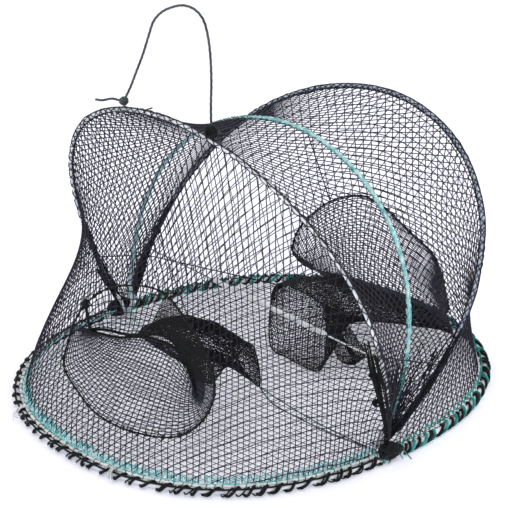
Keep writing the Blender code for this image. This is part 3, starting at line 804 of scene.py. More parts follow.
def cloth_piece(name, surface, columns, rows, seed, closed=False, uneven=SLEEVE_UNEVEN):
    """The fine black netting of the sleeves."""
    return net_piece(name, surface, columns, rows, seed, SLEEVE_TWINE_R, SLEEVE_TWINE,
                     closed=closed, uneven=uneven, knots=FINE_KNOT_R)


def edge(name, turn, side):
    """A panel's edge: an arch by name, or the hoop's front or back half by its side."""
    if name == "hoop":
        angle = -np.pi / 2 + side * np.radians(turn)
        return hoop_curve(angle, np.full_like(angle, -SELVEDGE_IN), SELVEDGE_UP)
    return arch_curve(name, turn)


def panel_surface(first, second, side, sag, high=False):
    """A net panel's surface between two edges, hollowed by the net's tension, and its length.

    The hollow is deepest halfway up, or two thirds of the way up for a high one.
    """
    turns = np.linspace(NET_FIRST, 180.0 - NET_FIRST, 721)
    share = running(steps_of((edge(first, turns, side) + edge(second, turns, 0)) / 2))
    length = share[-1]
    share = share / length

    def surface(u, v):
        v = np.asarray(v, float)
        turn = np.interp(u, share, turns)
        low, top = edge(first, turn, side), edge(second, turn, 0)
        place = low + (top - low) * v[..., None]
        hollow = 6.75 * v * v * (1 - v) if high else 4 * v * (1 - v)
        depth = sag * np.linalg.norm(top - low, axis=-1) * hollow
        return place + unit(np.array(TRAP_MIDDLE) - place) * depth[..., None]

    return surface, length


def trimmed(surface, hole):
    """A panel whose meshes keep one height: cut along the hoop, with its rows under the arch.

    Gives the surface, the test for a gap in it, and the panel's height at its middle.
    """
    shares = np.linspace(0.0, 1.0, 241)
    rise = np.linalg.norm(surface(shares, shares * 0 + 1) - surface(shares, shares * 0), axis=-1)
    tall = rise.max()

    def lower(u, v):
        return 1.0 - (1.0 - np.asarray(v)) * tall / np.interp(u, shares, rise)

    def cut(u, v):
        return surface(u, np.clip(lower(u, v), 0.0, 1.0))

    def gap(u, v):
        v = lower(u, v)
        return (v < -1e-6) | hole(u, v)

    return cut, gap, tall


def gathered(surface, spot, reach, most):
    """The same surface drawn towards a spot, less with the distance and not at its edges."""

    def drawn(u, v):
        place = surface(u, v)
        away = np.linalg.norm(place - spot, axis=-1)
        pull = most * np.exp(-((away / reach) ** 2)) * np.sin(np.pi * np.asarray(v)) ** 0.5
        return place + (spot - place) * pull[..., None]

    return drawn


def rim_hole(rim):
    """A test of which shares of a panel lie inside a closed line of them."""
    line = spline([(u, v, 0.0) for u, v in rim], 121, closed=True)
    a, b = line[:-1], line[1:]

    def hole(u, v):
        u, v = np.asarray(u)[..., None], np.asarray(v)[..., None]
        crosses = (a[:, 1] > v) != (b[:, 1] > v)
        rise = np.where(a[:, 1] == b[:, 1], 1.0, b[:, 1] - a[:, 1])
        at = a[:, 0] + (v - a[:, 1]) * (b[:, 0] - a[:, 0]) / rise
        return (crosses & (u < at)).sum(-1) % 2 == 1

    return hole


def ring_on(surface, rim):
    """The closed line of a panel's shares as even places on its surface."""
    line = spline([(u, v, 0.0) for u, v in rim], 241, closed=True)
    return resample(surface(line[:, 0], line[:, 1]), MOUTH_POINTS + 1)[:-1]


# Folding


def fold_share(places):
    """How far each point turns with the front arch's fold, as a share of that fold.

    A point of the netting in front turns by its angle between the hoop and the front arch, and
    one behind by its angle between the hoop and the back arch, which folds the other way.
    """
    angle = np.degrees(np.arctan2(places[:, 2] - HINGE_Z, places[:, 0] - HINGE_X))
    angle = np.where(angle < -90.0, 360.0 + angle, angle)
    front_lean = math.degrees(ARCHES["front"][1])
    return {
        "front": np.clip((180.0 - angle) / (180.0 - front_lean), 0.0, 1.0),
        "back": np.clip(angle / math.degrees(BACK_LEAN), 0.0, 1.0) * BACK_SHARE,
    }


def fold_with(piece, where):
    """Bends a soft piece as the arches fold, each point by its own share of the front's fold.

    where is front or back, for netting that turns by its own angle, or the path of a cord with
    the shares at even steps along it.
    """
    top = tuple(arch_curve("front", 90.0))
    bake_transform(piece, "base", "front_arch", start=(HINGE_X, 0.0, HINGE_Z), end=top)
    mesh = piece.data
    places = np.empty(len(mesh.vertices) * 3, np.float32)
    mesh.vertices.foreach_get("co", places)
    places = places.reshape(-1, 3).astype(float)
    if isinstance(where, str):
        share = fold_share(places)[where]
    else:
        path, shares = where
        near = np.linalg.norm(places[:, None] - path[None], axis=-1).argmin(1)
        share = np.interp(near / (len(path) - 1), np.linspace(0.0, 1.0, len(shares)), shares)
    mesh.attributes["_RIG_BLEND"].data.foreach_set("value", share.astype(np.float32))


def fold_crown(piece):
    """Netting between the front and middle arches, pressed to the middle one as they fold."""
    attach(piece, "middle_arch")
    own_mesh(piece)


def fold_ridge(piece):
    """Netting between the back and middle arches, shared between the two."""
    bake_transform(piece, "back_arch", "middle_arch",
             start=tuple(arch_curve("back", 90.0)), end=tuple(arch_curve("middle", 90.0)))


# The handle rope


def node_middle(node):
    low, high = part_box(node)
    return (np.array(low) + np.array(high)) / 2


def make_handle():
    knot, draw = node_middle("handle_knot"), node_middle("draw_knot")
    middle = [np.array((knot[0], y, z)) for y, z in HANDLE_ROUTE]
    start = knot + unit(middle[0] - knot) * (HANDLE_KNOT_R + KNOT_CLEAR)
    end = draw + unit(middle[-1] - draw) * (DRAW_KNOT_R + KNOT_CLEAR)
    route = spline([start, *middle, end], 150)
    rope = cords("handle_rope_lay", [strand(route, HANDLE_R, 12, lay=HANDLE_LAY)], HANDLE_CORD,
                 "grey_cord", "handle_rope", body="front_arch")
    float(steps_of(route).sum())


make_handle()


# Rods


def arch_path(arch):
    """The line of an arch's rod, with its straight feet."""
    _, lean, _, foot = ARCHES[arch]
    bend = arch_curve(arch, np.linspace(BEND_FIRST, 180.0 - BEND_FIRST, 181))
    reach = np.array([0.0, FOOT_STRAIGHT])
    near = np.stack([HINGE_X + reach * math.cos(lean), np.full(2, -foot),
                     HINGE_Z + reach * math.sin(lean)], -1)
    return np.vstack([near, bend, near[::-1] * np.array([1.0, -1.0, 1.0])])


def make_rods():
    ring = strand(hoop_curve(circle(360)), HOOP_ROD_R, 12, closed=True)
    cords("hoop_rod", [ring], COATED_ROD, "coated_rod", "base_hoop")
    phi = circle(24)
    for arch, radius in ARCH_SHOWN.items():
        parts = [strand(arch_path(arch), radius, 12)]
        for side in (-1, 1):
            eye = np.stack([HINGE_X + EYE_R * np.cos(phi), np.full(24, side * ARCHES[arch][3]),
                            HINGE_Z + EYE_R * np.sin(phi)], -1)
            parts.append(strand(eye, EYE_WIRE_R, 8, closed=True))
        surface = DULL_ROD if arch == "back" else COATED_ROD
        cords(f"{arch}_arch_rod", parts, surface, "coated_rod", f"{arch}_arch",
              body=f"{arch}_arch")


make_rods()


# Rope round the hoop and the band inside it


def wrapped(ends, pitch, ahead, shift, out, radius, seed):
    """A rope wound round the hoop: slanting over its outer side, quick beneath and inside it.

    ahead moves the turns along the hoop by that share of the pitch, and shift moves them out.
    """
    start, end = ends
    turns = steps_of(hoop_plan(np.linspace(start, end, 400))).sum() / pitch
    share = np.linspace(0.0, turns, int(turns * 36) + 1)
    local = np.random.default_rng(seed)
    loose = np.interp(share, np.arange(int(turns) + 2), local.normal(size=int(turns) + 2))
    whole = np.floor(share + ahead)
    part = share + ahead - whole
    swing = np.interp(part, (0.0, SLANT_PART, 1.0), (0.0, SLANT_SWING, 1.0))
    phase = 2 * np.pi * (whole + swing) - SLANT_PHASE
    angle = start + (end - start) * np.clip((share + WRAP_LOOSE * loose) / turns, 0.0, 1.0)
    reach = out * (1 + WRAP_UNEVEN * loose)
    height = np.maximum(HOOP_Z + reach * np.sin(phase), radius)
    return hoop_curve(angle, shift + reach * np.cos(phase), height)


def zigzag(angle, phase, low, high, seed):
    """A thread laced to and fro between two distances from the hoop, over the netting's edge."""
    local = np.random.default_rng(seed)
    turn = running(steps_of(hoop_plan(angle))) / BAND_PITCH + phase
    sway = np.abs((turn % 1.0) * 2 - 1)
    stitches = int(turn.max()) + 2
    uneven = np.interp(turn, np.arange(stitches), local.normal(size=stitches))
    inward = low + (high - low) * np.clip(sway + BAND_UNEVEN * uneven, 0.0, 1.0)
    height = BAND_LOW + (BAND_HIGH - BAND_LOW) * (inward - low) / (high - low)
    height = height + BAND_WAVE * np.sin(2 * np.pi * turn + 1.3) + BAND_QUIVER * uneven
    return strand(hoop_curve(angle, inward, height), BAND_THREAD_R)


def hitches(angle):
    """Small rings of thread round the hem line."""
    along = running(steps_of(hoop_plan(angle)))
    phi = circle(10)
    out = HEM_OUT + HITCH_R * np.cos(phi)
    height = HEM_HEIGHT + HITCH_R * np.sin(phi)
    for place in np.arange(HITCH_PITCH, along[-1], HITCH_PITCH):
        spot = np.interp(place + HITCH_PITCH * HITCH_LOOSE * rng.normal(), along, angle)
        ring = hoop_curve(spot + 0.003 * np.sin(phi), out, height)
        yield strand(ring, HITCH_CORD_R, 4, closed=True)


def make_front_rope():
    """Black rope, a laced band and a net hem on the front half of the hoop."""
    ends = np.pi / 2 + LASHING_GAP, 3 * np.pi / 2 - LASHING_GAP
    angle = np.linspace(*ends, HOOP_STEPS)
    off, swing, quiver = LINE_SWERVE
    swerve = off + swing * np.cos(angle) + quiver * np.sin(angle * 60)
    ropes = [
        strand(wrapped(ends, ROPE_PITCH, 0.0, ROPE_SHIFT, ROPE_OUT, ROPE_R, 20), ROPE_R, 9,
               lay=ROPE_LAY),
        strand(hoop_curve(angle, swerve, LINE_HEIGHT), LINE_R, 6, lay=LINE_LAY),
        strand(wrapped(ends, ROPE_PITCH, TWIN_AHEAD, 2 * ROPE_SHIFT, ROPE_OUT, LINE_R, 21),
               LINE_R * 0.8, 6, lay=TWIN_LAY),
    ]
    cords("front_hoop_marling", ropes, BLACK_ROPE, "black_rope", "front_hoop_rope")
    band = [zigzag(angle, BAND_STEP * k, BAND_OUT, BAND_IN, 60 + k) for k in range(2)]
    edging = hoop_curve(angle, BAND_OUT + BAND_QUIVER * np.sin(angle * 90), BAND_LOW)
    band.append(strand(edging, BAND_THREAD_R))
    cords("front_selvedge_lacing", band, BAND_CORD, "teal_cord", "front_selvedge")
    hem = hoop_curve(angle, HEM_OUT + 0.0003 * np.sin(angle * 40), HEM_HEIGHT)
    cords("front_hem_line", [strand(hem, HEM_R, 8, lay=HEM_LAY)], WHITE_CORD, "coated_rod")
    cords("front_hem_hitches", hitches(angle), DEEP_TEAL, "teal_cord")


def make_back_rope():
    """Black rope and teal rope on the back half of the hoop."""
    ends = -np.pi / 2 + LASHING_GAP, np.pi / 2 - LASHING_GAP

    def rope(pitch, ahead, seed):
        path = wrapped(ends, pitch, ahead, BACK_SHIFT, BACK_OUT, BACK_R, seed)
        return strand(path, BACK_R, 9, lay=ROPE_LAY)

    ropes = [rope(*turns) for turns in BACK_TURNS]
    cords("back_hoop_marling", ropes, BLACK_ROPE, "black_rope", "back_hoop_rope")
    thread = zigzag(np.linspace(*ends, HOOP_STEPS), 0.0, BACK_BAND_OUT, BACK_BAND_IN, 60)
    cords("back_selvedge_lacing", [thread, rope(*TEAL_TURNS)], TEAL_CORD, "teal_cord",
          "back_selvedge")


def make_ties():
    """White twine tied round the hoop in two places, with its ends left long."""
    phi = circle(24)
    height = np.maximum(HOOP_Z + TIE_HIGH * np.sin(phi), 0.0008)
    parts = []
    for degrees, seed in TIE_PLACES:
        local = np.random.default_rng(seed)
        centre = math.radians(degrees)
        for k in range(3):
            angle = centre + (k - 1) * 0.006 + 0.002 * np.sin(phi)
            ring = hoop_curve(angle, TIE_WIDE * np.cos(phi) - 0.001, height)
            parts.append(strand(ring, TIE_R, closed=True))
        for k in range(2):
            start = hoop_curve(centre + 0.01 * k, *TIE_START)
            reach = hoop_curve(centre + 0.01 * k + 0.02, *TIE_REACH)
            tip = reach + np.array([0.0, 0.0, -TIE_DROP]) + local.normal(size=3) * 0.002
            parts.append(strand(spline([start, reach, tip], 14), TIE_R))
    cords("hoop_ties", parts, WHITE_CORD, "coated_rod")


make_front_rope()
make_back_rope()
make_ties()


# Nets


FRONT_PANEL, FRONT_LENGTH = panel_surface("hoop", "front", -1, FRONT_SAG, high=True)
BACK_PANEL, BACK_LENGTH = panel_surface("hoop", "back", 1, BACK_SAG)


def make_nets():
    """The four nets: two from the hoop to an arch, with a mouth each, and two between arches."""
    for word, panel, length, rim, width, height, square, seed in (
        ("front", FRONT_PANEL, FRONT_LENGTH, FRONT_RIM, DIAMOND_WIDTH, DIAMOND_HEIGHT, False, 1),
        ("back", BACK_PANEL, BACK_LENGTH, BACK_RIM, SQUARE_WIDTH, SQUARE_HEIGHT, True, 2),
    ):
        cut, gap, tall = trimmed(panel, rim_hole(rim))
        net = net_piece(f"{word}_netting", cut, int(length / width), int(tall / height), seed,
                        square=square, hole=gap)
        finish_piece(net, "net_twine", f"{word}_net", fold=word)
    crown, crown_length = panel_surface("front", "middle", 0, CROWN_SAG)
    crown = gathered(crown, arch_curve("front", DRAW_KNOT_TURN), GATHER_REACH, GATHER_MOST)
    ridge, ridge_length = panel_surface("middle", "back", 0, RIDGE_SAG)
    for word, surface, length, rows, seed, fold in (
        ("crown", crown, crown_length, CROWN_ROWS, 3, fold_crown),
        ("ridge", ridge, ridge_length, RIDGE_ROWS, 4, fold_ridge),
    ):
        net = net_piece(f"{word}_netting", surface, int(length / DIAMOND_WIDTH), rows, seed)
        fold(finish_piece(net, "net_twine", f"{word}_net"))


make_nets()


def make_floor():
    """The flat net laced inside the hoop, its strands lying straight to the near hinge side."""
    ahead = unit(np.array([*CAMERA_HEADING, 0.0]))
    right = np.array([ahead[1], -ahead[0], 0.0])

    def surface(u, v):
        u, v = np.asarray(u)[..., None], np.asarray(v)[..., None]
        place = right * (u * 2 - 1) * FLOOR_REACH + ahead * (v * 2 - 1) * FLOOR_REACH
        return place + np.array([HINGE_X, 0.0, FLOOR_HEIGHT])

    def outside(u, v):
        place = surface(u, v)
        dx, dy = place[..., 0] - HINGE_X, place[..., 1]
        rim = hoop_plan(np.arctan2(dy, dx))
        return np.hypot(dx, dy) > np.hypot(rim[..., 0] - HINGE_X, rim[..., 1]) - FLOOR_INSET

    net = net_piece("floor_netting", surface, int(2 * FLOOR_REACH / FLOOR_WIDTH),
                    int(2 * FLOOR_REACH / FLOOR_DEPTH), 5, FLOOR_TWINE_R, hole=outside,
                    uneven=FLOOR_UNEVEN, knots=FLOOR_KNOT_R)
    finish_piece(net, "net_twine", "floor_net", body="base")


make_floor()


# Funnels and sleeves


def cell(share, count):
    """The cell that each share falls in, of so many equal ones, and how far into it."""
    place = np.asarray(share) * count
    low = np.minimum(np.floor(place).astype(int), count - 1)
    return low, (place - low)[..., None]


def ring_surface(rings):
    """A surface through a list of closed rings, smooth both ways."""
    rings = np.asarray(rings)
    count, last = rings.shape[1], len(rings) - 1

    def surface(u, v):
        low, part = cell(u, count)
        base, t = cell(v, last)

        def get(k):
            k = np.clip(k, 0, last)
            return rings[k, low] * (1 - part) + rings[k, (low + 1) % count] * part

        return smooth_step(get(base - 1), get(base), get(base + 1), get(base + 2), t)

    return surface


def wound(centre, half, turns, cord_r, seed):
    """Turns of cord this way and that over an oval core."""
    local = np.random.default_rng(seed)
    phi = circle(40)
    for _ in range(turns):
        axis = unit(local.normal(size=3))
        one = unit(np.cross(axis, local.normal(size=3)))
        two = np.cross(axis, one)
        offset = axis * local.uniform(-0.75, 0.75)
        size = math.sqrt(max(1 - offset @ offset, 0.1))
        ring = offset + (np.outer(np.cos(phi), one) + np.outer(np.sin(phi), two)) * size
        ring = centre + ring * half * (0.74 + 0.26 * local.random())
        ring[:, 2] = np.maximum(ring[:, 2], cord_r)
        yield strand(ring, cord_r, 8, True, WOUND_LAY)


def make_mouth(word, mouth, throat_end):
    """The cord round a mouth, knotted to the net at every mesh."""
    parts = [strand(mouth, MOUTH_CORD_R, 8, True, THIN_LAY)]
    for k in range(0, MOUTH_POINTS, 2):
        tied = mouth[k] + (mouth[k + 1] - mouth[k]) * np.linspace(0.1, 0.5, 4)[:, None]
        parts.append(strand(tied, MOUTH_KNOT_R * rng.uniform(0.7, 1.1), 6))
    if word == "front":
        spot = mouth[SLIT_POINT]
        parts += wound(spot, MOUTH_LUMP_R, 10, MOUTH_CORD_R, 190)
        parts.append(strand(sagging(spot, throat_end, 0.002), SEAM_R, 8, lay=SLIT_LAY))
    cords(f"{word}_mouth_line", parts, BLACK_ROPE, "black_rope", f"{word}_mouth_cord", fold=word)


def make_funnel(word, panel, rim, sleeve):
    """A funnel from its mouth in a net panel to its throat, and the sleeve behind it."""
    mouth = ring_on(panel, rim)
    make_mouth(word, mouth, sleeve[0][0])
    rings = [spline(ring, 121, closed=True)[:-1] for ring in sleeve]
    throat = rings[0]
    between = [mouth + (throat - mouth) * t for t in (0.0, 0.33, 0.67, 1.0)]
    for k in (1, 2):
        middle = between[k].mean(0)
        between[k] = middle + (between[k] - middle) * FUNNEL_WAIST
    around = steps_of(mouth).sum()
    deep = np.linalg.norm(throat - mouth, axis=1).mean()
    whole = ring_surface(between)

    def part(low, high, skew=0.0):
        def surface(u, v):
            share = low + (high - low) * np.asarray(u) + skew * np.asarray(v)
            return whole(share % 1.0, v)
        return surface

    first, second, third, last = FUNNEL_PARTS[word]
    entire = second == last
    net = net_piece(f"{word}_funnel_netting", part(first, second, FUNNEL_SKEW * entire),
                    int(around * (second - first) / FUNNEL_COLUMN), int(deep / FUNNEL_ROW), 21,
                    FUNNEL_TWINE_R, FUNNEL_TWINE, square=True, closed=entire,
                    uneven=FUNNEL_UNEVEN, knots=FINE_KNOT_R)
    finish_piece(net, "net_twine", f"{word}_funnel", fold=word)
    if not entire:
        hood = cloth_piece("front_hood_netting", part(second, third), *HOOD_MESHES, 35)
        finish_piece(hood, "sleeve_net", fold=word)
        loose = net_piece("front_funnel_top", part(third, last),
                          int(around * (last - third) / COARSE_FUNNEL),
                          int(deep / COARSE_FUNNEL), 36, square=True)
        finish_piece(loose, "net_twine", fold=word)
        rings[0] = np.where(throat[:, 1:2] > SLIT_END[1], SLIT_END, throat)
    around = steps_of(rings[1]).sum()
    deep = np.linalg.norm(rings[-1].mean(0) - rings[0].mean(0))
    cloth = cloth_piece(f"{word}_sleeve_netting", ring_surface(rings), int(around / SLEEVE_MESH),
                        int(deep / SLEEVE_MESH), 31, closed=True)
    finish_piece(cloth, "sleeve_net", f"{word}_sleeve", fold=word)
    seams = [strand(throat, SEAM_R, 8, True, SEAM_LAY),
             strand(rings[-1], SLEEVE_END_R, 6, True, THIN_LAY)]
    cords(f"{word}_sleeve_seams", seams, BLACK_ROPE, "black_rope", fold=word)


def make_wedge():
    """A loose fold of the back sleeve that hangs beside its end."""
    steps = 40
    lines = np.array([spline(line, steps + 1) for line in WEDGE])

    def surface(u, v):
        low, part = cell(u, steps)
        base, t = cell(v, len(lines) - 1)
        upper, lower = (lines[k, low] * (1 - part) + lines[k, low + 1] * part
                        for k in (base, base + 1))
        return upper + (lower - upper) * t

    fold = cloth_piece("back_sleeve_fold", surface, *WEDGE_MESHES, 33, uneven=WEDGE_UNEVEN)
    finish_piece(fold, "sleeve_net", fold="back")


make_funnel("front", FRONT_PANEL, FRONT_RIM, FRONT_SLEEVE)
make_funnel("back", BACK_PANEL, BACK_RIM, BACK_SLEEVE)
make_wedge()


# Lacing on the arches


def laced(arch, first, last, pitch, out, radius, count, seed):
    """Threads wound along an arch between two turns, each a little uneven."""
    local = np.random.default_rng(seed)
    turn = np.linspace(first, last, int((last - first) * 14))
    across, reach = arch_flat(arch, turn)
    along = running(np.hypot(np.diff(across), np.diff(reach)))
    for k in range(count):
        sway = np.interp(along, np.arange(0, 1.4, LACING_STEP), local.normal(size=117))
        phase = 2 * np.pi * (along / pitch + k / count) + 0.35 * sway
        off = out * (1 + LACING_UNEVEN * sway)
        path = arch_curve(arch, turn, off * np.cos(phase), off * np.sin(phase))
        yield strand(path, radius)


def outline(arch, first, last, seed):
    """Two lines of twine that run along an arch, outside it and inside it."""
    local = np.random.default_rng(seed)
    turn = np.linspace(first, last, 240)
    for side in (1, -1):
        sway = np.interp(turn, np.linspace(first, last, 60), local.normal(size=60)) * 0.0004
        path = arch_curve(arch, turn, side * (LACING_OUT + np.abs(sway)), sway * 2)
        yield strand(path, OUTLINE_R)


def make_lacing():
    """Twine that ties the nets to the arches: open on the front, close and cyan in the middle.

    Each run has its first and last turn, pitch, distance from the rod, radius, threads and
    seed, and the lines along the rod have their first and last turn and seed.
    """
    for arch, word, surface, slot, lines, *runs in (
        ("front", "", ARCH_CORD, "grey_cord", (24.0, 176.0, 89),
         (26.0, 176.0, 0.026, LACING_OUT, 0.0006, 2, 81),
         (26.0, 176.0, -0.034, LACING_OUT, 0.0006, 2, 82),
         (4.0, 27.0, 0.018, 0.0034, 0.0009, 3, 83)),
        ("middle", "", PALE_CORD, "teal_cord", None,
         (20.0, 108.0, 0.034, 0.0022, 0.0009, 4, 85),
         (20.0, 108.0, -0.047, 0.0025, 0.0008, 2, 95)),
        ("back", "", ARCH_CORD, "grey_cord", (4.0, 176.0, 93),
         (4.0, 176.0, 0.026, LACING_OUT, 0.0006, 3, 84),
         (4.0, 176.0, -0.030, LACING_OUT, 0.0006, 3, 90)),
        ("middle", "_near", DEEP_TEAL, "teal_cord", None,
         (4.0, 22.0, 0.026, 0.0022, 0.0009, 5, 86)),
        ("middle", "_top", DEEP_TEAL, "teal_cord", None,
         (104.0, 122.0, 0.026, 0.0022, 0.0009, 5, 87)),
        ("middle", "_far", FAR_CORD, "teal_cord", None,
         (121.0, 176.0, 0.026, 0.0022, 0.0009, 5, 98)),
    ):
        threads = [thread for run in runs for thread in laced(arch, *run)]
        if lines:
            threads += outline(arch, *lines)
        nodes = () if word else (f"{arch}_arch_lacing",)
        cords(f"{arch}_arch_wrap{word}", threads, surface, slot, *nodes, body=f"{arch}_arch")


def bunch(arch, first, last, count, wide, share, seed):
    """Netting drawn into a thick bundle along a leg, spread at its upper end."""
    local = np.random.default_rng(seed)
    for _ in range(count):
        turn = np.linspace(first, last + local.uniform(-4.0, 2.0), 46)
        rise = np.abs(turn - first) / abs(last - first)
        phase = local.uniform(0, 6.28) + local.uniform(-3.0, 3.0) * rise
        off = wide * (0.45 + 0.55 * np.sqrt(rise)) * math.sqrt(local.uniform(0.15, 1.0))
        path = arch_curve(arch, turn, off * np.cos(phase), off * np.sin(phase))
        path = path + np.outer(np.sin(np.clip(rise, 0, 1) * 1.9) ** 2, BUNCH_ASIDE * share)
        path[:, 2] = np.maximum(path[:, 2], THREAD_LOWEST)
        yield strand(path, local.uniform(*BUNCH_THREAD_R))


def gathers(first, second, last, count, seed):
    """Threads of slack netting that run up from the near hinge between two arches."""
    local = np.random.default_rng(seed)
    for _ in range(count):
        turn = np.linspace(2.5, last * local.uniform(0.55, 1.0), 30)
        share = local.uniform(0.0, 1.0) + 0.10 * np.sin(turn * 0.3 + local.uniform(0, 6.28))
        share = np.clip(share, 0.0, 1.0)[:, None]
        path = arch_curve(first, turn) * (1 - share) + arch_curve(second, turn) * share
        sway = np.interp(turn, np.linspace(2.5, last, 12), local.normal(size=12))
        path += sway[:, None] * 0.0012
        path[:, 2] = np.maximum(path[:, 2], THREAD_LOWEST)
        yield strand(path, local.uniform(*GATHER_THREAD_R), 4)


def make_bunches():
    """Bundles and small knots of netting on the legs, and slack threads by the near hinge.

    Each bundle has its first and last turn, threads, width, share of the shift aside and seed,
    and each knot its turn, share of the shift and seed.
    """
    for arch, bundles, knots in (
        ("front",
         ((2.0, 27.0, 13, 0.0040, 1.0, 91), (2.0, 25.0, 9, 0.0062, 0.30, 96),
          (179.0, 162.0, 12, 0.0036, 0.0, 92), (179.0, 172.0, 18, 0.0070, 0.0, 192)),
         ((13.5, 1.05, 313), (20.5, 1.05, 320))),
        ("back",
         ((2.0, 24.0, 11, 0.0036, 0.0, 93), (179.0, 158.0, 14, 0.0040, 0.0, 94),
          (179.0, 169.0, 20, 0.0064, 0.0, 194)),
         ((162.6, 0.0, 562),)),
    ):
        threads = [thread for bundle in bundles for thread in bunch(arch, *bundle)]
        for turn, share, seed in knots:
            spot = arch_curve(arch, turn) + BUNCH_ASIDE * share
            threads += wound(spot, LEG_KNOT_R, 9, LEG_KNOT_CORD_R, seed)
        cords(f"{arch}_leg_bunches", threads, SLEEVE_TWINE, "net_twine", body=f"{arch}_arch")
    for name, fold, *sizes in (
        ("crown_gathers", fold_crown, "front", "middle", 26.0, 24, 97),
        ("ridge_gathers", fold_ridge, "middle", "back", 25.0, 22, 99),
    ):
        fold(cords(name, gathers(*sizes), NET_TWINE, "net_twine", body=None))


make_lacing()
make_bunches()


# Hinge lashings


def loose_ends(centre, side):
    """Short ends of teal thread that stand out of a lashing."""
    local = np.random.default_rng(120 + side)
    for _ in range(7):
        start = centre + local.normal(size=3) * (0.010, 0.005, 0.004)
        way = unit(np.array([local.normal(), side * 0.8, -0.5]))
        tip = start + way * local.uniform(*END_LENGTH)
        tip[2] = max(tip[2], END_LOWEST)
        middle = (start + tip) / 2 + local.normal(size=3) * 0.002
        middle[2] = max(middle[2], END_LOWEST)
        yield strand(spline([start, middle, tip], 12), END_R)


def make_hinges():
    for side, word in ((-1, "near"), (1, "far")):
        centre = np.array((HINGE_X, side * LASHING_PLACE[0], LASHING_PLACE[1]))
        turns = wound(centre, LASHING_HALF, 20, LASHING_CORD_R, 40 + side)
        cords(f"{word}_lashing_turns", turns, BLACK_ROPE, "black_rope", f"hinge_lashing_{word}")
        # Thinner, lighter cord wound over the black turns: painted highlights for the grey gleam on each
        # lashing
        loops = wound(centre, HIGHLIGHT_LOOPS_HALF, 8, HIGHLIGHT_LOOP_CORD_R, 140 + side)
        cords(f"{word}_lashing_highlight_loops", loops, ARCH_CORD, "grey_cord")
        pin = np.stack([np.full(12, HINGE_X), side * np.linspace(*HINGE_PIN, 12),
                        np.full(12, HINGE_Z)], -1)
        core = [strand(pin, HINGE_PIN_R, 8, lay=THIN_LAY)]
        cords(f"{word}_hinge_core", core, BLACK_ROPE, "black_rope", f"hinge_cord_{word}")
        cords(f"{word}_thread_ends", loose_ends(centre, side), TEAL_CORD, "teal_cord")


make_hinges()


# Knots of the handle


def make_knots():
    for node, radius, turns, seed, surface in (
        ("handle_knot", HANDLE_KNOT_R, 12, 51, HANDLE_CORD),
        ("draw_knot", DRAW_KNOT_R, 14, 52, BLACK_ROPE),
    ):
        lump = wound(node_middle(node), radius - 0.0018, turns, KNOT_CORD_R, seed)
        cords(f"{node}_turns", lump, surface, "black_rope", node, body="front_arch")
    knot = node_middle("handle_knot")
    under = knot + np.array([0.0, 0.0, -0.013])
    away = unit(np.array([-CAMERA_HEADING[1], CAMERA_HEADING[0], 0.0]))
    stub, curl = (
        [place + away * out + np.array([0.0, 0.0, up]) for place, out, up in route]
        for route in (
            ((knot, 0.003, 0.0), (knot, 0.014, 0.003), (knot, 0.026, 0.001), (knot, 0.034, 0.002)),
            ((knot, 0.0, -0.005), (under, -0.006, 0.0), (under, -0.001, 0.0),
             (under, 0.005, 0.0), (under, -0.004, -0.005), (under, -0.016, -0.002),
             (under, -0.034, 0.004)),
        )
    )
    tails = [strand(spline(stub, 30), HANDLE_R, 8, lay=HANDLE_LAY),
             strand(spline(curl, 60), TAIL_R, 6, lay=THIN_LAY)]
    cords("handle_tails", tails, HANDLE_CORD, "grey_cord", body="front_arch")


make_knots()


# Bait bar and the cords inside


def make_bait_bar():
    path = np.linspace(BAR_NEAR, BAR_FAR, 30)
    cords("bait_tube", [strand(path, BAR_R, 16)], COATED_ROD, "coated_rod", "bait_bar",
          body="front_arch")
    near = sagging(arch_curve("front", BAIT_NEAR_TURN), BAR_NEAR, 0.001)
    cords("bait_line_near", [strand(near, BAIT_LINE_R, 6, lay=THIN_LAY)], WHITE_CORD, "coated_rod",
          "bait_cord_near", body="front_arch")
    far = taut(BAR_FAR, arch_curve("back", BAIT_FAR_TURN))
    cords("bait_line_far", [strand(far, GUY_R, 6, lay=THIN_LAY)], GREY_CORD, "grey_cord",
          "bait_cord_far", fold=(far, (1.0, 1.0, BACK_SHARE, BACK_SHARE)))


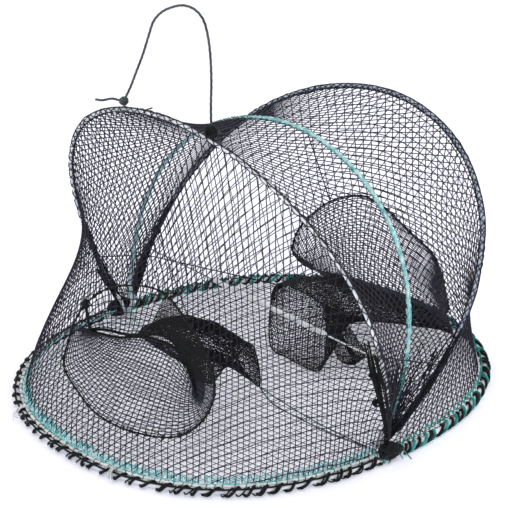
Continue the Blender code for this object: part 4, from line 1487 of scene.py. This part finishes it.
def make_guys():
    """Cords that hold the sleeves and mouths.

    Each has its shares of the front arch's fold, at even steps along it.
    """
    past_back = arch_curve("back", PAST_BACK_TURN)
    peak = np.array(FRONT_SLEEVE[1][6])
    rim = np.array(FRONT_SLEEVE[4][3])
    slit = np.array(SLIT_END)
    long_way = np.vstack([taut(arch_curve("front", BACK_GUY_TURN), past_back),
                          taut(past_back, BACK_SLEEVE[4][8])])
    spread = taut(arch_curve("front", SPREADER_TURNS[0]), arch_curve("back", SPREADER_TURNS[1]))
    twin = np.vstack([sagging(rim, TWIN_PLACE, 0.002, 14), sagging(TWIN_PLACE, NEAR_LUMP, 0.004)])
    back = (BACK_SHARE,) * 2
    for name, node, path, surface, slot, shares in (
        ("front_sleeve_line", "front_sleeve_guy",
         taut(arch_curve("back", FRONT_GUY_TURN), peak), BLACK_ROPE, "black_rope",
         (*back, 0.5, 0.5)),
        ("back_sleeve_line", "back_sleeve_guy", long_way, BLACK_ROPE, "black_rope",
         (1.0, 1.0, *back, *back, BACK_SHARE * 0.8, BACK_SHARE * 0.8)),
        ("spreader_line", "spreader_cord", spread, BLACK_ROPE, "black_rope", (1.0, 1.0, *back)),
        ("front_sleeve_stay_line", "front_sleeve_stay", sagging(NEAR_LUMP, rim, 0.006), GREY_CORD,
         "grey_cord", (0.0, 0.6)),
    ):
        cords(name, [strand(path, GUY_R, 6, lay=GUY_LAY)], surface, slot, node,
              fold=(path, shares))
    mouth = ring_on(BACK_PANEL, BACK_RIM)
    held = fold_share(mouth)["back"]
    for name, path, radius, surface, shares in (
        ("far_foot_line", sagging(FAR_FOOT, slit, 0.002), 0.0014, FAR_CORD, (0.0, 0.5)),
        ("far_foot_twin",
         sagging(FAR_FOOT + (0.0, -0.004, 0.004), slit + (0.012, 0.0, 0.0), 0.004), 0.0012,
         FAR_CORD, (0.0, 0.5)),
        ("front_sleeve_twin", twin, 0.0011, GREY_CORD, (0.6, 0.3, 0.2, 0.0)),
        ("front_sleeve_lift", sagging(FRONT_SLEEVE[4][4], peak, 0.0), 0.0007, BLACK_ROPE,
         (0.6, 0.5)),
        *((f"mouth_lift_{word}", taut(arch_curve("middle", turn), mouth[k]), GUY_R, BLACK_ROPE,
           (MIDDLE_SHARE, MIDDLE_SHARE, held[k], held[k])) for word, turn, k in MOUTH_LIFTS),
    ):
        cords(name, [strand(path, radius, 6, lay=THIN_LAY)], surface, "grey_cord",
              fold=(path, shares))


make_bait_bar()
make_guys()


# Floor and light


def make_stage():
    mesh = bpy.data.meshes.new("floor")
    h = FLOOR_HALF
    mesh.from_pydata([(-h, -h, 0), (h, -h, 0), (h, h, 0), (-h, h, 0)], [], [(0, 1, 2, 3)])
    item = new_object("floor", mesh)
    item.location.z = -0.0005
    made, shader = new_material("floor_white")
    world = bpy.data.worlds.new("world")
    bpy.context.scene.world = world
    world.use_nodes = True
    back = world.node_tree.nodes["Background"]
    set_inputs(
        (shader, "Base Color", FLOOR_COLOUR),
        (shader, "Roughness", 0.95),
        (shader, "Specular IOR Level", 0.1),
        (shader, "Emission Color", FLOOR_GLOW),
        (shader, "Emission Strength", FLOOR_GLOW_STRENGTH),
        (back, "Color", (1.0, 1.0, 1.0, 1.0)),
        (back, "Strength", SKY_STRENGTH),
    )
    mesh.materials.append(made)
    item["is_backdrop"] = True
    for name, place, power in LAMPS:
        data = bpy.data.lights.new(name, "AREA")
        data.energy = power
        data.size = LAMP_SIZE
        lamp = new_object(name, data)
        lamp.location = place
        lamp.rotation_euler = (-Vector(place)).to_track_quat("-Z", "Y").to_euler()


make_stage()
bpy.context.scene.view_settings.view_transform = "Standard"

boxes = {"cad": CAD_BOX, "visual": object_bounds()}
{k: [list(corner) for corner in v] for k, v in boxes.items()}
